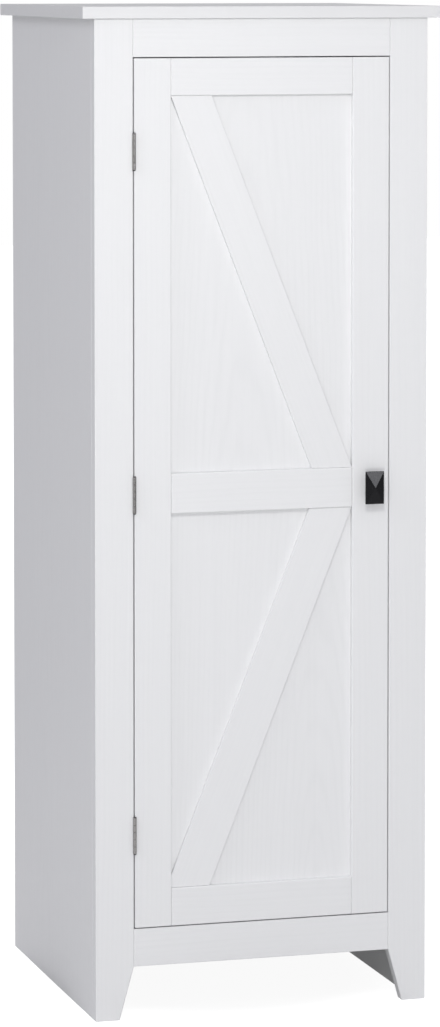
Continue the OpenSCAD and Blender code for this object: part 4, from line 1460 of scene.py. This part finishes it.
@dataclass
class Hinges:
    """Three small butt hinges in the gap at the door's left edge, with their screws."""

    heights: tuple[str, ...] = ("lower", "middle", "upper")
    knuckles: int = 5
    knuckle_gap: float = 0.3 * MM
    leaf_thickness: float = 0.8 * MM
    pin_radius: float = 1.5 * MM
    chamfer: float = 0.25 * MM
    clear: float = 0.3 * MM
    pin_clearance: float = 0.05 * MM
    plate_edge: float = 0.2 * MM
    screw: Screws = Screws(head_radius=2.4 * MM, head_height=1.6 * MM, cross_depth=0.7 * MM)

    def build(self) -> None:
        """Build each hinge's two leaves and pin, and then the screws."""
        for height in self.heights:
            self.leaf(height, "frame", CABINET, -1)
            self.leaf(height, "door", DOOR, 1)
            self.pin(height)
        for half, body, way in (("frame", CABINET, -RIGHT), ("door", DOOR, RIGHT)):
            self.screw.drive(f"hinge_{half}_screws", body, Stock.NICKEL, way)

    def leaf(self, height: str, half: str, body: str, side: int) -> None:
        """Build one leaf: a plate with sunk holes, webs and its share of the knuckles.

        Args:
            height: Which hinge it is.
            half: The word for its half in the names.
            body: The body that it moves with.
            side: -1 for the frame's leaf, 1 for the door's.
        """
        name = f"{height}_hinge_{half}_leaf"
        low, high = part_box(name)
        pin = middle(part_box(f"{height}_hinge_pin"))
        barrel = abs(low.x - pin.x) if side < 0 else pin.y - low.y
        frame_x, door_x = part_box("left_frame_stile")[1].x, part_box("door_hinge_stile")[0].x
        face_x = frame_x if side < 0 else door_x
        plate_x = sorted((face_x, face_x - side * self.leaf_thickness))
        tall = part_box(f"{height}_hinge_frame_leaf")
        full_low = tall[0].z - self.knuckle_gap / 2
        share = (tall[1].z - tall[0].z + self.knuckle_gap) / self.knuckles
        plate_y = pin.y + barrel + self.clear
        plate = Bench.block("leaf", (plate_x[0], plate_y, low.z), (plate_x[1], high.y, high.z))
        leaf = Bench.ease(plate, self.plate_edge)
        for number in range(0 if side < 0 else 1, self.knuckles, 2):
            knuckle_low = full_low + number * share + self.knuckle_gap / 2
            knuckle_high = knuckle_low + share - self.knuckle_gap
            web_low = (plate_x[0], pin.y, knuckle_low)
            web = Bench.block("tool", web_low, (plate_x[1], plate_y + MM, knuckle_high))
            Bench.carve(leaf, Carving.ADD, web)
            long = knuckle_high - knuckle_low
            profile = (
                (0.0, barrel - self.chamfer), (self.chamfer, barrel), (long - self.chamfer, barrel),
                (long, barrel - self.chamfer),
            )
            knuckle = Bench.turned("tool", (pin.x, pin.y, knuckle_low), UP, profile, sides=40)
            Bench.carve(leaf, Carving.ADD, knuckle)
        below, bore_length = 5 * MM, 80 * MM
        bore_start = (pin.x, pin.y, low.z - below)
        bore = Bench.rod(bore_start, UP, self.pin_radius + self.pin_clearance, bore_length)
        Bench.carve(leaf, Carving.CUT, bore)
        way = RIGHT * side
        sinks = [
            Bench.countersink(end_of(box, -way), way, self.screw.head_radius, self.screw.head_height)
            for box in Bench.solids_of(f"hinge_{half}_screws") if low.z < box[0].z < high.z
        ]
        Bench.carve(leaf, Carving.CUT, *sinks)
        leaf.name = leaf.data.name = f"{name}_rolled"
        place(Bench.smooth(leaf), body, Stock.NICKEL, name)

    def pin(self, height: str) -> None:
        """Turn a hinge pin with a rounded tip at each end.

        Args:
            height: Which hinge it is.
        """
        name = f"{height}_hinge_pin"
        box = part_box(name)
        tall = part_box(f"{height}_hinge_frame_leaf")
        tip = (box[1].x - box[0].x) / 2
        tip_height = tall[0].z - box[0].z - self.knuckle_gap / 2
        total = box[1].z - box[0].z
        dome = ((0.0, 0.5), (0.15, 0.78), (0.45, 0.96), (0.7, 1.0), (1.0, 1.0))
        lower = [(up * tip_height, out * tip) for up, out in dome]
        lower.append((tip_height, self.pin_radius))
        upper = [(total - distance, radius) for distance, radius in reversed(lower)]
        pin = Bench.turned(f"{name}_turned", end_of(box, -UP), UP, [*lower, *upper], sides=40)
        place(pin, CABINET, Stock.DARK_STEEL, name)


@dataclass
class Knob:
    """The black knob, its washer and its screw."""

    rim: float = 3 * MM
    point: float = 4.5 * MM
    stem_radius: float = 6.5 * MM
    edge: float = 0.45 * MM
    washer_hole: float = 2.05 * MM
    slot_width: float = 1 * MM
    slot_depth: float = 1.2 * MM
    screw_radius: float = 2 * MM

    def build(self) -> None:
        """Build the knob and what holds it."""
        self.head()
        self.washer()
        self.screw()

    def head(self) -> None:
        """Build the head with its four-sided point, on a stem that flares at both ends."""
        low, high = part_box("knob")
        rim_front = low.y + self.point
        rim_back = rim_front + self.rim
        head = Bench.block("knob_head", (low.x, rim_front, low.z), (high.x, rim_back, high.z))
        Bench.pick(head, lambda spot: spot.y < rim_front + MM)
        bpy.ops.mesh.extrude_region_move(TRANSFORM_OT_translate={"value": (0, -self.point, 0)})
        bpy.ops.mesh.merge(type="CENTER")
        Bench.leave()
        Bench.ease(head, self.edge, segments=3)
        centre = middle((low, high))
        long = high.y - rim_front - self.rim
        flare = 1.5 * MM
        profile = (
            (0.0, self.stem_radius + flare), (0.4 * MM, self.stem_radius + 0.9 * flare),
            (flare, self.stem_radius + 0.25 * flare), (2 * flare, self.stem_radius),
            (long - 2 * flare, self.stem_radius), (long - flare, self.stem_radius + 0.25 * flare),
            (long, self.stem_radius + flare), (long + self.rim / 2, self.stem_radius + flare),
        )
        stem = Bench.turned("tool", (centre.x, high.y, centre.z), FRONT, profile, sides=40)
        Bench.carve(head, Carving.ADD, stem)
        head.name = head.data.name = "knob_cast"
        place(head, DOOR, Stock.LACQUER, "knob")

    def washer(self) -> None:
        """Build the washer behind the door."""
        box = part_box("knob_washer")
        radius = (box[1].x - box[0].x) / 2
        thick = box[1].y - box[0].y
        soft = 0.2 * MM
        profile = ((0.0, radius - soft), (soft, radius), (thick - soft, radius), (thick, radius - soft))
        front = end_of(box, FRONT)
        washer = Bench.turned("knob_washer_turned", front, BACK, profile, sides=40)
        hole = Bench.rod(front + FRONT * MM, BACK, self.washer_hole, thick + 2 * MM)
        place(Bench.carve(washer, Carving.CUT, hole), DOOR, Stock.ZINC, "knob_washer")

    def screw(self) -> None:
        """Build the slotted screw that pulls the knob onto the door."""
        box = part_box("knob_screw")
        radius = (box[1].x - box[0].x) / 2
        head_height = box[1].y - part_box("knob_washer")[1].y
        long = box[1].y - box[0].y
        profile = (
            (0.0, 0.6 * radius), (0.15 * head_height, 0.85 * radius), (0.45 * head_height, radius),
            (head_height, radius), (head_height, self.screw_radius), (long - MM, self.screw_radius),
            (long, 0.7 * self.screw_radius),
        )
        start = end_of(box, BACK)
        screw = Bench.turned("knob_screw_slotted", start, FRONT, profile)
        reach = Vector((radius, self.slot_depth, self.slot_width / 2))
        Bench.carve(screw, Carving.CUT, Bench.block("tool", start - reach, start + reach))
        place(screw, DOOR, Stock.ZINC, "knob_screw")


@dataclass
class MagneticCatch:
    """The catch behind the knob stile, and the strike plate that it holds."""

    wall: float = 2 * MM
    flange: float = 2.5 * MM
    flange_overlap: float = 7 * MM
    screw: Screws = Screws(head_radius=3.2 * MM, head_height=1.8 * MM, domed=True)
    strike_screw: Screws = Screws(head_radius=2.8 * MM, head_height=2 * MM)
    housing_edge: float = 0.8 * MM
    flange_edge: float = 0.6 * MM
    pole_edge: float = 0.2 * MM
    magnet_edge: float = 0.4 * MM
    strike_edge: float = 0.3 * MM

    def build(self) -> None:
        """Build the catch on the cabinet and the strike plate on the door."""
        self.housing()
        self.plates()
        self.screw.drive("catch_screws", CABINET, Stock.ZINC, FRONT)
        self.strike()
        self.strike_screw.drive("strike_screw", DOOR, Stock.ZINC, FRONT)

    def housing(self) -> None:
        """Build the plastic housing with its pocket and flange."""
        low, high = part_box("catch_body")
        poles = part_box("catch_pole_plates")
        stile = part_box("right_frame_stile")
        housing = Bench.block("catch_housing", low, (poles[1].x + self.wall, high.y, high.z))
        Bench.ease(housing, self.housing_edge, segments=3)
        flange_low = (stile[0].x - self.flange_overlap, stile[1].y, low.z)
        flange = Bench.block("tool", flange_low, (high.x, stile[1].y + self.flange, high.z))
        Bench.carve(housing, Carving.ADD, Bench.ease(flange, self.flange_edge, segments=3))
        pocket = Bench.block("tool", (poles[0].x, low.y - MM, poles[0].z), poles[1])
        Bench.carve(housing, Carving.CUT, pocket)
        Bench.pick(housing, lambda spot: True)
        bpy.ops.mesh.dissolve_degenerate(threshold=SLIVER)
        Bench.leave()
        place(Bench.smooth(housing), CABINET, Stock.PLASTIC, "catch_body")

    def plates(self) -> None:
        """Build the two pole plates and the magnet between them."""
        plates = [
            Bench.ease(Bench.block("plate", low, high), self.pole_edge)
            for low, high in Bench.solids_of("catch_pole_plates")
        ]
        pair = Bench.join("catch_pole_plates_stamped", *plates)
        place(pair, CABINET, Stock.STEEL, "catch_pole_plates")
        magnet = Bench.block("catch_magnet_pressed", *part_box("catch_magnet"))
        place(Bench.ease(magnet, self.magnet_edge), CABINET, Stock.FERRITE, "catch_magnet")

    def strike(self) -> None:
        """Build the strike plate, with a sunk hole for its screw."""
        plate = Bench.block("strike_plate_stamped", *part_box("strike_plate"))
        Bench.ease(plate, self.strike_edge)
        head = end_of(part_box("strike_screw"), BACK)
        screw = self.strike_screw
        sink = Bench.countersink(head, FRONT, screw.head_radius, screw.head_height)
        place(Bench.carve(plate, Carving.CUT, sink), DOOR, Stock.STEEL, "strike_plate")


@dataclass
class Fixings:
    """What holds the boards together, most of it hidden inside them."""

    brace_screw: Screws = Screws(head_radius=2.8 * MM, head_height=2 * MM)

    def build(self) -> None:
        """Build the brace screws, and dress the CAD fixings that keep their own shape."""
        self.brace_screw.drive("brace_screws", DOOR, Stock.ZINC, FRONT)
        dressed = {
            "cam_locks": Stock.ZINC, "cam_bolts": Stock.ZINC,
            "carcass_dowels": Stock.BEECH, "frame_dowels": Stock.BEECH,
        }
        for node, finish in dressed.items():
            self.dress(node, finish)

    @staticmethod
    def dress(node: str, finish: Finish) -> None:
        """Give a CAD node that is shown as it is a finish.

        Args:
            node: The CAD node.
            finish: Its finish.
        """
        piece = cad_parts[node]
        if not piece.material_slots:
            piece.data.materials.append(finish.material())
        for slot in piece.material_slots:
            slot.material = finish.material()
        LOG.info("%s: kept, in %s", node, finish.name)


# ---- The studio ----


@dataclass(frozen=True)
class Lamp:
    """A round soft lamp, which may light only the matt or only the glossy part of a finish."""

    name: str
    place: tuple[float, float, float]
    size: float
    power: float
    tint: Colour = (1.0, 1.0, 0.98)
    on_diffuse: bool = True
    on_gloss: bool = True

    def build(self, aim: Vector) -> None:
        """Build the lamp.

        Args:
            aim: The point that it is turned to.
        """
        light = bpy.data.lights.new(self.name, "AREA")
        light.shape = "DISK"
        light.size = self.size
        light.energy = self.power
        light.color = self.tint
        lamp = bpy.data.objects.new(self.name, light)
        bpy.context.scene.collection.objects.link(lamp)
        lamp.location = self.place
        lamp.rotation_euler = (aim - Vector(self.place)).to_track_quat("-Z", "Y").to_euler()
        lamp.visible_diffuse = self.on_diffuse
        lamp.visible_glossy = self.on_gloss


@dataclass
class Studio:
    """The pale floor, the soft lights and the camera."""

    floor_size: float = 40.0
    floor_colour: Colour = (0.68, 0.68, 0.68)
    floor_lift: float = 0.94
    # Painted shade under the cupboard: the share of the floor's colour that is left there, and the
    # radii between which it comes back
    painted_shade_share: float = 0.1
    painted_shade_radius: tuple[float, float] = (0.24, 0.44)
    ambient: Colour = (1.0, 1.003, 1.055)
    ambient_level: float = 0.385
    front_level: float = 0.235
    front_way: tuple[float, float, float] = (-0.35, -1.0, 0.45)
    lamp_aim: tuple[float, float, float] = (0.0, -0.2, 1.0)
    lamps: tuple[Lamp, ...] = (
        Lamp("key", (-0.37, -1.9, 2.12), size=0.35, power=9.8),
        Lamp("fill", (-1.2, -4.1, 0.4), size=0.75, power=33, on_gloss=False),
        Lamp("side", (-4.86, -1.5, 4.27), size=2.5, power=43, tint=(0.95, 0.94, 1.0)),
        Lamp("rear", (2.6, 2.0, 3.0), size=2.0, power=30),
    )
    glint: Lamp = Lamp(
        "glint", (1.12, -3.08, 1.43), size=0.6, power=8.5, tint=(0.94, 0.94, 1.0), on_diffuse=False
    )
    floor_reach: tuple[float, float] = (0.8, 3.5)
    floor_in_gloss: float = 0.6
    sky_reach: tuple[float, float] = (0.2, 0.7)
    dark_side: tuple[float, float, float] = (0.85, -0.5, 0.0)
    dark_level: float = 0.35
    rear_level: float = 0.4
    lens: float = 147.974
    sensor: float = 36.0
    shift_up: float = -0.286
    camera_place: tuple[float, float, float] = (-2.15556, -7.364516, 1.845324)
    yaw: float = 16.363
    pitch: float = 3.4034

    def build(self) -> None:
        """Build the floor, the surroundings, the lamps and the camera."""
        self.floor()
        self.surroundings()
        for lamp in self.lamps:
            lamp.build(Vector(self.lamp_aim))
        self.glint.build(end_of(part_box("knob"), FRONT))
        self.camera()
        bpy.context.scene.view_settings.view_transform = "Standard"
        LOG.info("studio ready")

    def seen_light(
        self, wiring: Wiring, spot: Socket, near: float, far: float, in_gloss: float = 1.0
    ) -> Socket:
        """Find how bright the surroundings look: white, but in a gloss dimmer on one side and behind.

        Args:
            wiring: The node tree to build in.
            spot: A direction, or a place on the floor.
            near: How far towards the dark side, or behind, a gloss still shows white.
            far: How far that way it is dimmest.
            in_gloss: How bright the rest looks in a gloss.

        Returns:
            The brightness for rays from the camera, a gloss or a clear stuff, and 0 for soft light.
        """
        dimmest = self.dark_level * in_gloss
        aside = wiring.spread(wiring.along(spot, self.dark_side), near, far, in_gloss, dimmest)
        behind = wiring.spread(wiring.along(spot, BACK), near, far, 1.0, self.rear_level)
        gloss = wiring.math("MULTIPLY", aside, behind)
        path = wiring.node("ShaderNodeLightPath").outputs
        plain = wiring.math("MAXIMUM", path["Is Camera Ray"], path["Is Transmission Ray"])
        return wiring.math("MAXIMUM", plain, wiring.math("MULTIPLY", path["Is Glossy Ray"], gloss))

    def floor(self) -> None:
        """Build a matt floor that looks white where it is lit and keeps the cupboard's shadow, with
        painted shade under the cupboard, where its colour is darkened.
        """
        bpy.ops.object.select_all(action="DESELECT")
        bpy.ops.mesh.primitive_plane_add(size=self.floor_size)
        floor = bpy.context.object
        floor.name = "floor"
        stuff = bpy.data.materials.new("studio_floor")
        stuff.use_nodes = True
        wiring = Wiring(stuff.node_tree)
        spot = wiring.node("ShaderNodeTexCoord").outputs["Object"]
        # Painted shade: the floor's colour falls to a small share near the middle, under the cupboard,
        # so that less light bounces up between the feet
        radius = wiring.node("ShaderNodeVectorMath", {0: spot}, operation="LENGTH").outputs["Value"]
        shown = wiring.spread(radius, *self.painted_shade_radius, self.painted_shade_share, 1.0)
        colour = wiring.blend(shown, (0.0, 0.0, 0.0), self.floor_colour)
        matt = wiring.node("ShaderNodeBsdfDiffuse", {"Color": colour})
        seen = self.seen_light(wiring, spot, *self.floor_reach, self.floor_in_gloss)
        lift = wiring.math("MULTIPLY", seen, self.floor_lift)
        glow = wiring.node("ShaderNodeEmission", {"Color": WHITE, "Strength": lift})
        both = wiring.node("ShaderNodeAddShader", {0: matt.outputs[0], 1: glow.outputs[0]})
        wiring.node("ShaderNodeOutputMaterial", {"Surface": both.outputs[0]})
        floor.data.materials.append(stuff)

    def surroundings(self) -> None:
        """Build the soft light from all round, behind which the view stays white."""
        world = bpy.data.worlds.new("studio")
        bpy.context.scene.world = world
        world.use_nodes = True
        wiring = Wiring(world.node_tree)
        direction = wiring.node("ShaderNodeTexCoord").outputs["Generated"]
        seen = self.seen_light(wiring, direction, *self.sky_reach)
        nothing = 0.01
        unseen = wiring.math("LESS_THAN", seen, nothing)
        frontal = wiring.math("MAXIMUM", wiring.along(direction, self.front_way), 0.0)
        level = wiring.sum((frontal, self.front_level), (self.ambient_level, 1.0))
        soft_light = {"Color": (*self.ambient, 1.0), "Strength": wiring.math("MULTIPLY", level, unseen)}
        soft = wiring.node("ShaderNodeBackground", soft_light)
        white = wiring.node("ShaderNodeBackground", {"Color": WHITE, "Strength": seen})
        both = wiring.node("ShaderNodeAddShader", {0: soft.outputs[0], 1: white.outputs[0]})
        wiring.node("ShaderNodeOutputWorld", {"Surface": both.outputs[0]})

    def camera(self) -> None:
        """Build the camera."""
        view = bpy.data.cameras.new("camera")
        view.lens = self.lens
        view.sensor_width = self.sensor
        view.shift_y = self.shift_up
        camera = bpy.data.objects.new("camera", view)
        bpy.context.scene.collection.objects.link(camera)
        camera.location = self.camera_place
        camera.rotation_euler = (math.radians(90 - self.pitch), 0, -math.radians(self.yaw))
        bpy.context.scene.camera = camera


def main() -> None:
    """Build the cupboard and its studio."""
    logging.basicConfig(level=logging.INFO, format="%(name)s: %(message)s")
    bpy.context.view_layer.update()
    assemblies = (
        Carcass(), FaceFrame(), Furnishing(), Door(), Hinges(), Knob(), MagneticCatch(), Fixings(),
        Studio(),
    )
    for assembly in assemblies:
        LOG.info("building %s", type(assembly).__name__)
        assembly.build()


if __name__ == "__main__":
    main()
